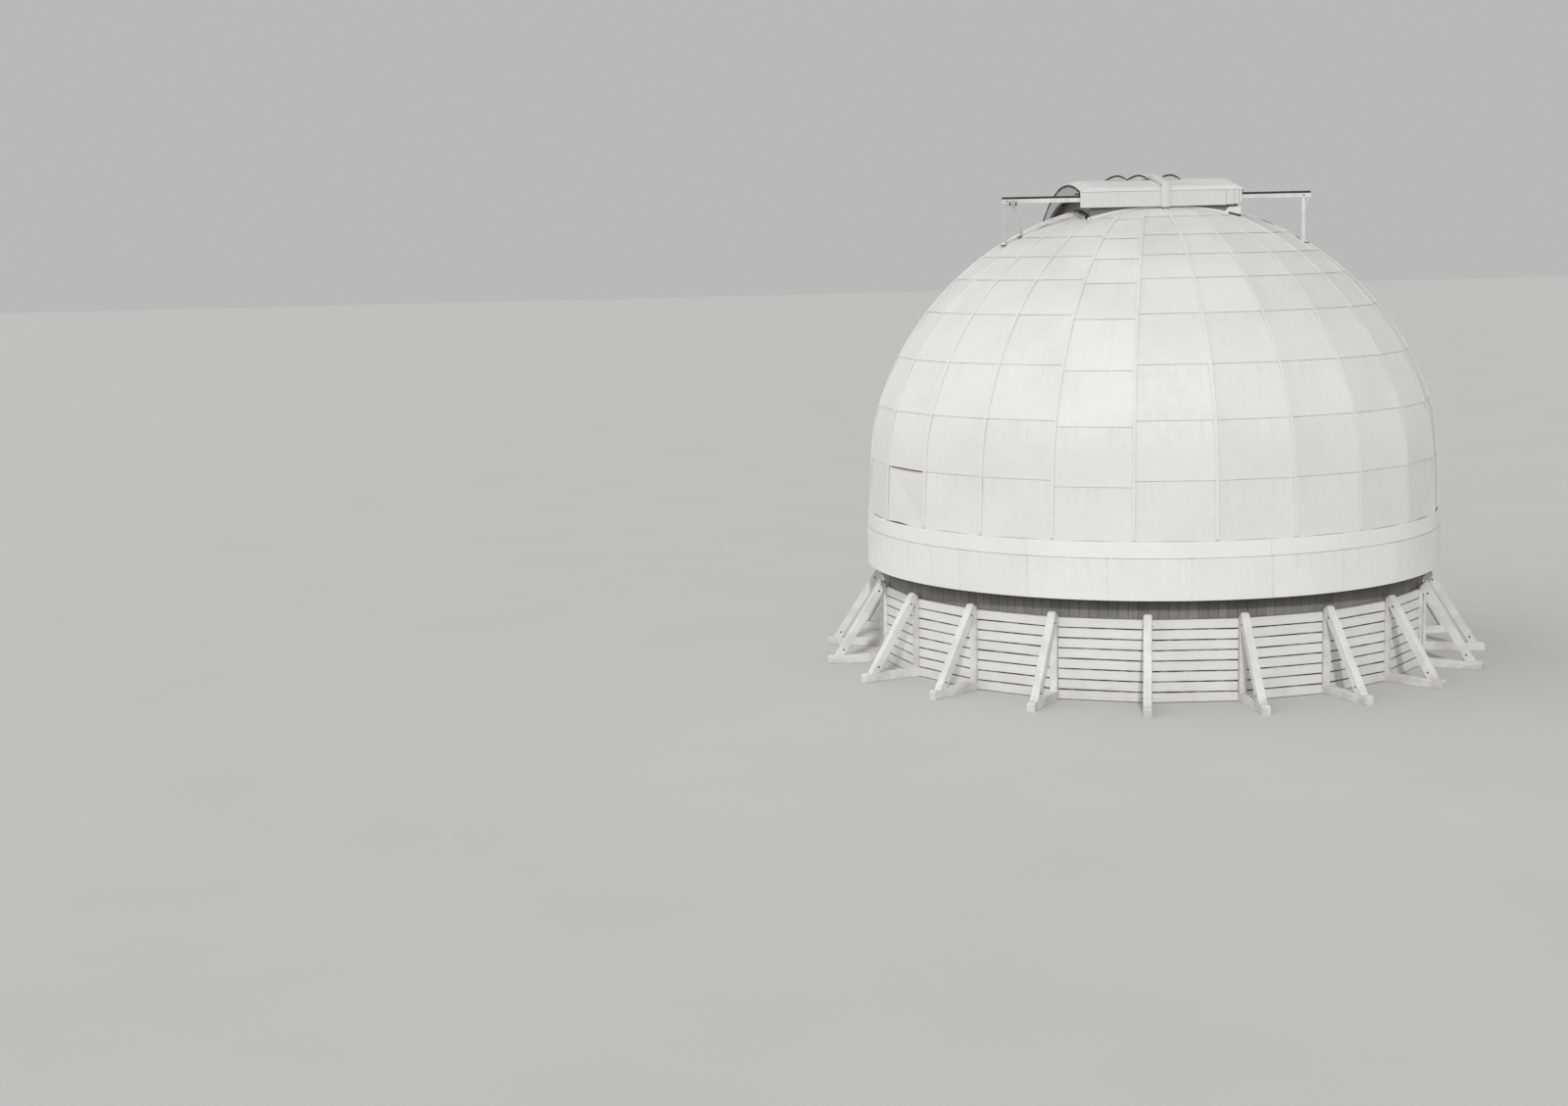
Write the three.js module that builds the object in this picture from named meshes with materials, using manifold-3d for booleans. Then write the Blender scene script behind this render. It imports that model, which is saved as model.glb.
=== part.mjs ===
// Observatory dome: a twenty-sided timber drum with raking braces, and a turning dome of sheet metal
// with a shutter in two halves that roll apart. Millimetres, +Z up, ground level at Z = 0, and the
// dome's turning axis is the Z axis. The slit lies along Y, with its upper end towards -Y.
import * as THREE from "three";
import { mergeVertices } from "three/addons/utils/BufferGeometryUtils.js";
import Module from "manifold-3d";

const wasm = await Module();
wasm.setup();

// Seats: pieces that touch keep this much air between them
const SEAT = 0.3;
const FAR = 9000;
const RING_SIDES = 48;
const GORES = 24;
const ARCH_SIDES = 60;
const CURVE_SEGMENTS = 20;
// Parts of one solid lap into each other by this much
const LAP = 10;

// Drum wall
const WALL_SIDES = 20;
const WALL_BAY = 360 / WALL_SIDES;
const WALL_TURN = 5.5;
const WALL_CORNER_RADIUS = 4360;
const WALL_THICKNESS = 110;
const WALL_TOP = 1220;
const QUADRANT_BAYS = 5;
const FIRST_CORNER = -3;

// Buttresses
const POST_WIDTH = 110;
const POST_DEPTH = 60;
const POST_TOP = 1210;
const BRACE_WIDTH = 124;
const BRACE_HEAD = 1262;
const BRACE_HEAD_OUT = 10;
const BRACE_NOSE = 40;
const BRACE_FOOT = 90;
const BRACE_REACH = 760;
const SILL_HEIGHT = 130;
const SILL_REACH = 920;
const SILL_BEVEL = 30;
const SILL_INSET = 2;

// Ring beam and the wheels that carry the dome
const BEAM_INNER_RADIUS = 4170;
const BEAM_OUTER_RADIUS = 4300;
const BEAM_TOP = 1620;
const WHEEL_COUNT = 8;
const WHEEL_SIDES = 12;
const WHEEL_RADIUS = 80;
const WHEEL_WIDTH = 46;
const RING_PLATE = 14;
const RING_PLATE_WIDTH = 100;
const SHOE_LENGTH = 240;
const SHOE_HEIGHT = 70;
const SHOE_WIDTH = 90;

// Turning ring, skirt and band
const BASE_RING_BOTTOM = 1800;
const BASE_RING_HEIGHT = 100;
const BASE_RING_INNER_RADIUS = 4150;
const UPSTAND_THICKNESS = 90;
const SKIRT_BOTTOM = 1530;
const SKIRT_RADIUS = 4580;
const SKIRT_THICKNESS = 25;
const BAND_BOTTOM = 2140;
const BAND_TOP = 2380;
const BAND_RADIUS = 4562;
const BAND_THICKNESS = 32;
const BAND_SPLAY = 12;

// Shell of the dome: flat gores between the ribs, an upright course and then rows on a sphere
const SPHERE_RADIUS = 4595;
const SPHERE_HEIGHT = 2680;
const UPRIGHT_FOOT_RADIUS = 4545;
const UPRIGHT_TOP_RADIUS = 4505;
const UPRIGHT_TOP = 3250;
const SHOULDER_RADIUS = 4455;
const SHOULDER_HEIGHT = 3680;
const ROW_ELEVATIONS = [18, 28.6, 39.3, 47.9, 54.7, 61.6, 70, 78.5];
const SHELL_THICKNESS = 45;
const RIB_WIDTH = 60;
const RIB_DEPTH = 90;
const PANEL_NAMES = ["front_right", "right_front", "right_back", "back_right",
  "back_left", "left_back", "left_front", "front_left"];

// Slit and its frame
const ARCH_INNER_X = 1080;
const ARCH_OUTER_X = 1150;
const ARCH_INNER_RADIUS = 4350;
const ARCH_OUTER_RADIUS = 4690;
const HEAD_NEAR_Y = -1130;
const HEAD_FAR_Y = -980;
const HEAD_BOTTOM = 6950;
const SLIT_SILL_BOTTOM = 2640;
const SLIT_SILL_TOP = 2720;

// Rails that the shutter rolls on
const RAIL_HEIGHT = 35;
const RAIL_WIDTH = 50;
const RAIL_BEAM_DEPTH = 65;
const RAIL_BEAM_WIDTH = 60;
const NEAR_RAIL_START = -2525;
const NEAR_RAIL_END = 2315;
const NEAR_RAIL_Y = -1080;
const NEAR_RAIL_TOP = 7355;
const NEAR_LEG_X = 2200;
const NEAR_LEG_FOOT = 6350;
// Struts at the near rail's left end: head X, then a point inside the dome that the strut runs to, then width
const NEAR_STRUTS = [
  { head: -2455, foot: [-2329, -200, 6561], width: 60 },
  { head: -2360, foot: [-2061, -298, 6668], width: 45 },
];
const LEG_WIDTH = 60;
const FAR_RAIL_END = 2450;
const FAR_RAIL_Y = 4805;
const FAR_RAIL_TOP = 2500;
const FAR_BRACKETS = [-2330, -1180, 0, 1180, 2330];
const FAR_STRUT_DROP = 420;
const BRACKET_TAIL = 60;

// Shutter: the half on the +X side is narrower
const RIGHT_HALF = { width: 1205, bevel: 90 };
const LEFT_HALF = { width: 1320, bevel: 150 };
const JOINT_GAP = 6;
const ROOF_RADIUS = 4930;
const ROOF_THICKNESS = 24;
const ROOF_BEVEL_DROP = 40;
const ROOF_BEVEL_INSET = 10;
const ROOF_MARGIN = 50;
const ROOF_FOOT = 2580;
const CHEEK_THICKNESS = 40;
const CHEEK_BOTTOM_RADIUS = 4600;
const FASCIA_Y = -1200;
const FASCIA_THICKNESS = 40;
const FASCIA_BOTTOM = 7165;
const FASCIA_TOP = 7432;
const TRUCK_WHEEL_RADIUS = 38;
const TRUCK_WHEEL_WIDTH = 50;
const TRUCK_WHEEL_SIDES = 16;
const TRUCK_WHEELS = [250, 1000];
const TRUCK_PLATE = 35;
const TRUCK_INNER_X = 150;
const TRUCK_AIR = 5;
const TRUCK_RISE = 10;
const NEAR_TRUCK_TAIL = 55;
const NEAR_TRUCK_HEIGHT = 140;
const NEAR_TRUCK_INSET = 60;
const TRUCK_TAIL_HEIGHT = 25;
const FAR_TRUCK_OUTER_X = 1095;
const FAR_TRUCK_HEIGHT = 150;
const STRAP_HALF_WIDTH = 60;
const STRAP_HEIGHT = 80;
const STRAP_CLEARANCE = 6;
const STRAP_FOOT = 7150;
const STRAP_DEPTH = 40;
const FLASHING_THICKNESS = 9;
const FLASHING_WIDTH = 110;
const FLASHING_RISE = 80;
const FLASHING_NEAR_Y = -400;
const FLASHING_TILT = 3;
const FLASHING_WAVE_STEPS = 10;
const FLASHING_FULLNESS = 0.8;
const FLASHING_STRAP_AIR = 15;
const FLASHING_LEFT_END = -760;
const FLASHING_RIGHT_END = 430;

const MATERIALS = {
  sheet: { color: 0xd9d9d6, roughness: 0.55, metalness: 0.0 },
  boards: { color: 0xdcdbd6, roughness: 0.7, metalness: 0.0 },
  timber: { color: 0xd6d5d0, roughness: 0.7, metalness: 0.0 },
  dark_timber: { color: 0x4a4845, roughness: 0.85, metalness: 0.0 },
  steel: { color: 0x3c3c3d, roughness: 0.5, metalness: 0.7 },
  flashing: { color: 0x222223, roughness: 0.7, metalness: 0.2 },
};

const object = new THREE.Group();

// Closed solids and the joins and cuts between them

function signedVolume(position, index) {
  const corner = [new THREE.Vector3(), new THREE.Vector3(), new THREE.Vector3()];
  let volume = 0;
  for (let i = 0; i < index.length; i += 3) {
    corner.forEach((point, k) => point.fromArray(position, 3 * index[i + k]));
    volume += corner[0].dot(corner[1].clone().cross(corner[2])) / 6;
  }
  return volume;
}

function solid(geometry) {
  const bare = geometry.clone();
  bare.deleteAttribute("normal");
  bare.deleteAttribute("uv");
  const merged = mergeVertices(bare, 1e-3);
  const position = merged.getAttribute("position").array;
  const index = Uint32Array.from(merged.index.array);
  if (signedVolume(position, index) < 0) {
    for (let i = 0; i < index.length; i += 3) {
      [index[i], index[i + 1]] = [index[i + 1], index[i]];
    }
  }
  const mesh = new wasm.Mesh({ numProp: 3, vertProperties: Float32Array.from(position), triVerts: index });
  return new wasm.Manifold(mesh);
}

function join(solids) {
  return solids.reduce((whole, piece) => whole.add(piece));
}

function geometryOf(body) {
  const mesh = body.getMesh();
  const geometry = new THREE.BufferGeometry();
  geometry.setAttribute("position", new THREE.BufferAttribute(Float32Array.from(mesh.vertProperties), 3));
  geometry.setIndex(new THREE.BufferAttribute(Uint32Array.from(mesh.triVerts), 1));
  const flat = geometry.toNonIndexed();
  flat.computeVertexNormals();
  return flat;
}

function place(name, body, material) {
  const geometry = body.isBufferGeometry ? body : geometryOf(body);
  const mesh = new THREE.Mesh(geometry, new THREE.MeshStandardMaterial(MATERIALS[material]));
  mesh.name = name;
  object.add(mesh);
}

// Basic forms

function radians(degrees) {
  return THREE.MathUtils.degToRad(degrees);
}

function block(x0, x1, y0, y1, z0, z1) {
  const box = new THREE.BoxGeometry(x1 - x0, y1 - y0, z1 - z0);
  return solid(box.translate((x0 + x1) / 2, (y0 + y1) / 2, (z0 + z1) / 2));
}

function outline(points) {
  return new THREE.Shape(points.map(([u, v]) => new THREE.Vector2(u, v)));
}

// Extrudes a flat shape along w, with the shape's own axes along u and v
function prism(shape, from, to, u, v, lift = 0) {
  const settings = { depth: to - from, bevelEnabled: false, curveSegments: CURVE_SEGMENTS };
  const geometry = new THREE.ExtrudeGeometry(shape, settings);
  const w = new THREE.Vector3().crossVectors(u, v);
  geometry.translate(0, 0, from).applyMatrix4(new THREE.Matrix4().makeBasis(u, v, w));
  return solid(geometry.translate(0, 0, lift));
}

const X = new THREE.Vector3(1, 0, 0);
const Y = new THREE.Vector3(0, 1, 0);
const Z = new THREE.Vector3(0, 0, 1);

// Azimuth 0 points to -Y and grows towards +X
function outward(azimuth) {
  return new THREE.Vector3(Math.sin(radians(azimuth)), -Math.cos(radians(azimuth)), 0);
}

// An upright plate that stands in the plane of one azimuth, drawn as [radius, height]
function radialPlate(points, width, azimuth) {
  return prism(outline(points), -width / 2, width / 2, outward(azimuth), Z);
}

// A ring about the Z axis whose section is drawn as [radius, height]
function ring(points, sides = RING_SIDES) {
  const section = [...points, points[0]].map(([r, z]) => new THREE.Vector2(r, z));
  return solid(new THREE.LatheGeometry(section, sides).rotateX(Math.PI / 2));
}

// A ring about the line through the sphere's centre along X, its section drawn as [x, radius]
function hoop(points) {
  const section = [...points, points[0]].map(([x, r]) => new THREE.Vector2(r, x));
  const geometry = new THREE.LatheGeometry(section, ARCH_SIDES);
  geometry.applyMatrix4(new THREE.Matrix4().makeBasis(Z, X, Y));
  return solid(geometry.translate(0, 0, SPHERE_HEIGHT));
}

function cylinderAlongY(x, y0, y1, z, radius, sides) {
  const geometry = new THREE.CylinderGeometry(radius, radius, y1 - y0, sides);
  return solid(geometry.translate(x, (y0 + y1) / 2, z));
}

// Drum

function wallQuadrant(firstCorner) {
  const outerFaceRadius = WALL_CORNER_RADIUS * Math.cos(radians(WALL_BAY / 2));
  const innerCornerRadius = (outerFaceRadius - WALL_THICKNESS) / Math.cos(radians(WALL_BAY / 2));
  const seatTurn = THREE.MathUtils.radToDeg(SEAT / 2 / innerCornerRadius);
  const corners = [];
  for (let i = 0; i <= QUADRANT_BAYS; i += 1) {
    const atEnd = i === 0 ? seatTurn : i === QUADRANT_BAYS ? -seatTurn : 0;
    corners.push(outward(WALL_TURN + WALL_BAY * (firstCorner + i) + atEnd));
  }
  const outer = corners.map((d) => [d.x * WALL_CORNER_RADIUS, d.y * WALL_CORNER_RADIUS]);
  const inner = corners.map((d) => [d.x * innerCornerRadius, d.y * innerCornerRadius]);
  return prism(outline([...outer, ...inner.reverse()]), 0, WALL_TOP, X, Y);
}

function buttress(azimuth) {
  const postBack = WALL_CORNER_RADIUS + SEAT;
  const face = postBack + POST_DEPTH;
  const post = [[postBack, 0], [face, 0], [face, POST_TOP], [postBack, POST_TOP]];
  const sillBack = postBack + SILL_INSET;
  const sillEnd = face + SILL_REACH;
  const sill = [[sillBack, 0], [sillEnd, 0], [sillEnd, SILL_HEIGHT - SILL_BEVEL],
    [sillEnd - SILL_BEVEL, SILL_HEIGHT], [sillBack, SILL_HEIGHT]];
  const head = new THREE.Vector2(face + BRACE_HEAD_OUT, BRACE_HEAD);
  const foot = new THREE.Vector2(face + BRACE_REACH, BRACE_FOOT);
  const along = head.clone().sub(foot).normalize();
  const across = new THREE.Vector2(-along.y, along.x).multiplyScalar(BRACE_WIDTH / 2);
  const nose = head.clone().addScaledVector(along, BRACE_NOSE);
  const noseHalf = across.clone().multiplyScalar(0.5);
  const brace = [foot.clone().add(across), head.clone().add(across), nose.clone().add(noseHalf),
    nose.clone().sub(noseHalf), head.clone().sub(across), foot.clone().sub(across)];
  return join([
    radialPlate(post, POST_WIDTH, azimuth),
    radialPlate(sill, BRACE_WIDTH, azimuth),
    radialPlate(brace.map((p) => [p.x, p.y]), BRACE_WIDTH, azimuth),
  ]);
}

function ringBeam() {
  const bottom = WALL_TOP + SEAT;
  return ring([[BEAM_INNER_RADIUS, bottom], [BEAM_OUTER_RADIUS, bottom],
    [BEAM_OUTER_RADIUS, BEAM_TOP], [BEAM_INNER_RADIUS, BEAM_TOP]]);
}

function rollerRing() {
  const middle = (BEAM_INNER_RADIUS + BEAM_OUTER_RADIUS) / 2;
  const inner = middle - RING_PLATE_WIDTH / 2;
  const outer = middle + RING_PLATE_WIDTH / 2;
  const bottom = BEAM_TOP + SEAT;
  const plateTop = bottom + RING_PLATE;
  const pieces = [ring([[inner, bottom], [outer, bottom], [outer, plateTop], [inner, plateTop]])];
  const wheelHeight = BASE_RING_BOTTOM - SEAT - WHEEL_RADIUS;
  const shoeHeight = plateTop - 1 + SHOE_HEIGHT / 2;
  for (let i = 0; i < WHEEL_COUNT; i += 1) {
    const azimuth = (360 / WHEEL_COUNT) * (i + 0.5);
    const turn = new THREE.Matrix4().makeRotationZ(radians(azimuth));
    const wheel = new THREE.CylinderGeometry(WHEEL_RADIUS, WHEEL_RADIUS, WHEEL_WIDTH, WHEEL_SIDES);
    wheel.translate(0, -middle, wheelHeight).applyMatrix4(turn);
    const shoe = new THREE.BoxGeometry(SHOE_LENGTH, SHOE_WIDTH, SHOE_HEIGHT);
    shoe.translate(0, -middle, shoeHeight).applyMatrix4(turn);
    pieces.push(solid(wheel), solid(shoe));
  }
  return join(pieces);
}

// Turning ring, skirt and band

function baseRing() {
  const outer = SKIRT_RADIUS - SKIRT_THICKNESS - SEAT;
  const shelf = BASE_RING_BOTTOM + BASE_RING_HEIGHT;
  return ring([[BASE_RING_INNER_RADIUS, BASE_RING_BOTTOM], [outer, BASE_RING_BOTTOM], [outer, shelf],
    [BASE_RING_INNER_RADIUS, shelf]]);
}

function upstand() {
  const outer = BAND_RADIUS - BAND_THICKNESS;
  const inner = outer - UPSTAND_THICKNESS;
  const bottom = BASE_RING_BOTTOM + BASE_RING_HEIGHT + SEAT;
  return ring([[inner, bottom], [outer, bottom], [outer, BAND_TOP], [inner, BAND_TOP]]);
}

function skirt() {
  const inner = SKIRT_RADIUS - SKIRT_THICKNESS;
  const top = BAND_BOTTOM - SEAT;
  return ring([[inner, SKIRT_BOTTOM], [SKIRT_RADIUS, SKIRT_BOTTOM], [SKIRT_RADIUS, top], [inner, top]]);
}

function band() {
  const inner = BAND_RADIUS - BAND_THICKNESS + SEAT;
  const splayed = BAND_RADIUS + BAND_SPLAY;
  return ring([[inner, BAND_BOTTOM], [splayed, BAND_BOTTOM], [BAND_RADIUS, BAND_TOP], [inner, BAND_TOP]]);
}

// Shell of the dome

// Points up the dome at a depth below its outer surface
function profile(depth) {
  const foot = [UPRIGHT_FOOT_RADIUS - depth, BAND_TOP + SEAT];
  const upright = [UPRIGHT_TOP_RADIUS - depth, UPRIGHT_TOP];
  const shoulder = [SHOULDER_RADIUS - depth, SHOULDER_HEIGHT];
  const radius = SPHERE_RADIUS - depth;
  const rows = ROW_ELEVATIONS.map(radians).map((elevation) => {
    const out = radius * Math.cos(elevation);
    const up = radius * Math.sin(elevation);
    return [out, SPHERE_HEIGHT + up];
  });
  return [foot, upright, shoulder, ...rows];
}

// Everything under the dome's outer surface and its skirt, grown by a seat
function domeBody() {
  const crown = SPHERE_HEIGHT + SPHERE_RADIUS + SEAT;
  const skirtSpace = SKIRT_RADIUS + SEAT;
  const bandSpace = BAND_RADIUS + BAND_SPLAY + SEAT;
  const lower = ring([[1, 0], [skirtSpace, 0], [skirtSpace, BAND_BOTTOM], [bandSpace, BAND_BOTTOM],
    [bandSpace, BAND_TOP], [1, BAND_TOP]]);
  const foot = BAND_TOP - 1;
  const upperSection = [[1, foot], [UPRIGHT_FOOT_RADIUS + SEAT, foot], ...profile(-SEAT), [1, crown]];
  const upper = ring(upperSection, GORES);
  return lower.add(upper);
}

function shell() {
  const skin = ring([...profile(0), ...profile(SHELL_THICKNESS).reverse()], GORES);
  const ribSection = [...profile(SHELL_THICKNESS / 2), ...profile(SHELL_THICKNESS + RIB_DEPTH).reverse()];
  const ribs = [];
  for (let i = 0; i < GORES; i += 1) {
    ribs.push(radialPlate(ribSection, RIB_WIDTH, (360 / GORES) * i));
  }
  const slitHalf = ARCH_OUTER_X + SEAT;
  const slit = block(-slitHalf, slitHalf, HEAD_NEAR_Y - SEAT, FAR, SLIT_SILL_BOTTOM, FAR);
  return join([skin, ...ribs]).subtract(slit);
}

// The wedge of one panel, drawn in plan, with half a seat off each side
function panelWedge(index) {
  const width = 360 / PANEL_NAMES.length;
  const from = outward(index * width);
  const to = outward((index + 1) * width);
  const middle = outward((index + 0.5) * width);
  const tip = middle.clone().multiplyScalar(SEAT / 2 / Math.sin(radians(width / 2)));
  const corners = [tip, tip.clone().addScaledVector(from, FAR), tip.clone().addScaledVector(to, FAR)];
  return prism(outline(corners.map((p) => [p.x, p.y])), 0, FAR, X, Y);
}

// Frame round the slit

function arch(side) {
  const shape = new THREE.Shape();
  const nearOuter = Math.acos(HEAD_NEAR_Y / ARCH_OUTER_RADIUS);
  const nearInner = Math.acos(HEAD_NEAR_Y / ARCH_INNER_RADIUS);
  const foot = SLIT_SILL_BOTTOM + SEAT - SPHERE_HEIGHT;
  shape.moveTo(ARCH_OUTER_RADIUS, foot);
  shape.lineTo(ARCH_OUTER_RADIUS, 0);
  shape.absarc(0, 0, ARCH_OUTER_RADIUS, 0, nearOuter, false);
  shape.lineTo(HEAD_NEAR_Y, ARCH_INNER_RADIUS * Math.sin(nearInner));
  shape.absarc(0, 0, ARCH_INNER_RADIUS, nearInner, 0, true);
  shape.lineTo(ARCH_INNER_RADIUS, foot);
  const x0 = side < 0 ? -ARCH_OUTER_X : ARCH_INNER_X;
  const rib = prism(shape, x0, x0 + ARCH_OUTER_X - ARCH_INNER_X, Y, Z, SPHERE_HEIGHT);
  const beamBottom = NEAR_RAIL_TOP - RAIL_HEIGHT - RAIL_BEAM_DEPTH;
  return rib.subtract(block(-FAR, FAR, -FAR, HEAD_FAR_Y, beamBottom - SEAT, FAR));
}

function slitHead() {
  const inside = ARCH_INNER_X - SEAT;
  const top = NEAR_RAIL_TOP - RAIL_HEIGHT - RAIL_BEAM_DEPTH - SEAT;
  return block(-inside, inside, HEAD_NEAR_Y, HEAD_FAR_Y, HEAD_BOTTOM, top);
}

function slitSill() {
  const inside = ARCH_INNER_X - SEAT;
  return block(-inside, inside, ARCH_INNER_RADIUS, ARCH_OUTER_RADIUS, SLIT_SILL_BOTTOM + SEAT, SLIT_SILL_TOP);
}

// Rails

function railBar(start, end, y, top) {
  const half = RAIL_WIDTH / 2;
  return block(start, end, y - half, y + half, top - RAIL_HEIGHT, top);
}

function railBeam(start, end, y, top) {
  const upper = top - RAIL_HEIGHT - SEAT;
  const half = RAIL_BEAM_WIDTH / 2;
  const lower = upper - RAIL_BEAM_DEPTH + SEAT;
  return block(start, end, y - half, y + half, lower, upper);
}

// A square bar from one point to another
function bar(from, to, width) {
  const length = from.distanceTo(to);
  const geometry = new THREE.BoxGeometry(width, width, length).translate(0, 0, length / 2);
  const aim = new THREE.Object3D();
  aim.position.copy(from);
  aim.up.set(0, 1, 0);
  aim.lookAt(to);
  aim.updateMatrix();
  return solid(geometry.applyMatrix4(aim.matrix));
}

function nearBeam() {
  const pieces = [railBeam(NEAR_RAIL_START, NEAR_RAIL_END, NEAR_RAIL_Y, NEAR_RAIL_TOP)];
  const head = NEAR_RAIL_TOP - RAIL_HEIGHT - RAIL_BEAM_DEPTH + LAP;
  const half = LEG_WIDTH / 2;
  const nearY = NEAR_RAIL_Y - half;
  const farY = NEAR_RAIL_Y + half;
  pieces.push(block(NEAR_LEG_X - half, NEAR_LEG_X + half, nearY, farY, NEAR_LEG_FOOT, head));
  for (const strut of NEAR_STRUTS) {
    const top = new THREE.Vector3(strut.head, NEAR_RAIL_Y, head);
    pieces.push(bar(top, new THREE.Vector3(...strut.foot), strut.width));
  }
  return join(pieces).subtract(domeBody());
}

function farBeam() {
  const pieces = [railBeam(-FAR_RAIL_END, FAR_RAIL_END, FAR_RAIL_Y, FAR_RAIL_TOP)];
  const upper = FAR_RAIL_TOP - RAIL_HEIGHT - SEAT - 1;
  const lower = upper - RAIL_BEAM_DEPTH + 2;
  const half = RAIL_BEAM_WIDTH / 2;
  for (const x of FAR_BRACKETS) {
    const wallY = Math.sqrt(UPRIGHT_TOP_RADIUS ** 2 - x ** 2) - BRACKET_TAIL;
    pieces.push(block(x - half, x + half, wallY, FAR_RAIL_Y, lower, upper));
    const strutHead = new THREE.Vector3(x, FAR_RAIL_Y - half, lower + half);
    const strutFoot = new THREE.Vector3(x, wallY, lower - FAR_STRUT_DROP);
    pieces.push(bar(strutHead, strutFoot, LEG_WIDTH));
  }
  return join(pieces).subtract(domeBody());
}

// Shutter halves, drawn on the +X side

function inArc(body) {
  const nearEnd = FASCIA_Y + FASCIA_THICKNESS + SEAT;
  return body.intersect(block(-FAR, FAR, nearEnd, FAR, SPHERE_HEIGHT, FAR));
}

// A section drawn as [x, radius] that follows the roof's arc and then drops straight to its foot
function alongRoof(points) {
  const drop = prism(outline(points), ROOF_FOOT, SPHERE_HEIGHT + 1, X, Y);
  return inArc(hoop(points)).add(drop);
}

function roof(half) {
  const flat = half.width - half.bevel;
  const edge = ROOF_RADIUS - ROOF_BEVEL_DROP;
  const inside = ROOF_RADIUS - ROOF_THICKNESS;
  return alongRoof([[JOINT_GAP / 2, inside], [JOINT_GAP / 2, ROOF_RADIUS], [flat, ROOF_RADIUS],
    [half.width, edge], [half.width, edge - ROOF_THICKNESS], [flat - ROOF_BEVEL_INSET, inside]]);
}

// The side of a half. At the near end its lower edge is cut level.
function cheek(half) {
  const outer = half.width;
  const inner = outer - CHEEK_THICKNESS;
  const top = ROOF_RADIUS - ROOF_BEVEL_DROP - ROOF_THICKNESS - SEAT;
  const bottom = CHEEK_BOTTOM_RADIUS;
  const side = alongRoof([[inner, bottom], [outer, bottom], [outer, top], [inner, top]]);
  const railNotch = NEAR_RAIL_Y + RAIL_BEAM_WIDTH / 2 + TRUCK_AIR + TRUCK_PLATE + SEAT;
  const levelCut = block(-FAR, FAR, -FAR, 0, SPHERE_HEIGHT, SPHERE_HEIGHT + bottom);
  return side.subtract(block(-FAR, FAR, -FAR, railNotch, SPHERE_HEIGHT, FAR)).subtract(levelCut);
}

function fascia(half) {
  const backY = FASCIA_Y + FASCIA_THICKNESS;
  return block(JOINT_GAP / 2, half.width, FASCIA_Y, backY, FASCIA_BOTTOM, FASCIA_TOP);
}

// Space taken by the roof, grown by a seat, that a truck is cut back from
function roofSpace(half) {
  const underside = ROOF_RADIUS - ROOF_THICKNESS - 2 * SEAT;
  const above = ROOF_RADIUS + ROOF_MARGIN;
  const outer = half.width + SEAT;
  const bend = half.width - half.bevel - ROOF_BEVEL_INSET;
  return hoop([[-LAP, underside], [-LAP, above], [outer, above], [outer, underside - ROOF_BEVEL_DROP],
    [bend, underside]]);
}

// Wheels of a truck that stand on a rail and lap into the truck's plate
function truckWheels(railY, railTop, plateY) {
  const axleHeight = railTop + SEAT + TRUCK_WHEEL_RADIUS;
  const start = railY - TRUCK_WHEEL_WIDTH / 2;
  return TRUCK_WHEELS.map((x) => (
    cylinderAlongY(x, start, plateY + 1, axleHeight, TRUCK_WHEEL_RADIUS, TRUCK_WHEEL_SIDES)
  ));
}

function nearTruck(half) {
  const plateY = NEAR_RAIL_Y + RAIL_BEAM_WIDTH / 2 + TRUCK_AIR;
  const backY = plateY + TRUCK_PLATE;
  const bottom = NEAR_RAIL_TOP + TRUCK_RISE;
  const plateEnd = half.width - NEAR_TRUCK_INSET;
  const plate = block(TRUCK_INNER_X, plateEnd, plateY, backY, bottom, bottom + NEAR_TRUCK_HEIGHT);
  const tailEnd = half.width + NEAR_TRUCK_TAIL;
  const tail = block(TRUCK_INNER_X, tailEnd, plateY, backY, bottom, bottom + TRUCK_TAIL_HEIGHT);
  const wheels = truckWheels(NEAR_RAIL_Y, NEAR_RAIL_TOP, plateY);
  return join([plate, tail, ...wheels]).subtract(roofSpace(half));
}

function farTruck() {
  const plateY = ROOF_RADIUS - ROOF_THICKNESS - SEAT - TRUCK_PLATE;
  const backY = plateY + TRUCK_PLATE;
  const bottom = FAR_RAIL_TOP + TRUCK_RISE;
  const plate = block(TRUCK_INNER_X, FAR_TRUCK_OUTER_X, plateY, backY, bottom, bottom + FAR_TRUCK_HEIGHT);
  return join([plate, ...truckWheels(FAR_RAIL_Y, FAR_RAIL_TOP, plateY)]);
}

// The same piece on the -X side: each corner is mirrored, and each triangle is turned back outwards
function mirrored(body) {
  const geometry = geometryOf(body);
  const position = geometry.getAttribute("position");
  const flipped = new Float32Array(position.array.length);
  for (let i = 0; i < position.count; i += 1) {
    const source = i + [0, 1, -1][i % 3];
    flipped.set([-position.getX(source), position.getY(source), position.getZ(source)], 3 * i);
  }
  geometry.setAttribute("position", new THREE.BufferAttribute(flipped, 3));
  geometry.computeVertexNormals();
  return geometry;
}

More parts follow.
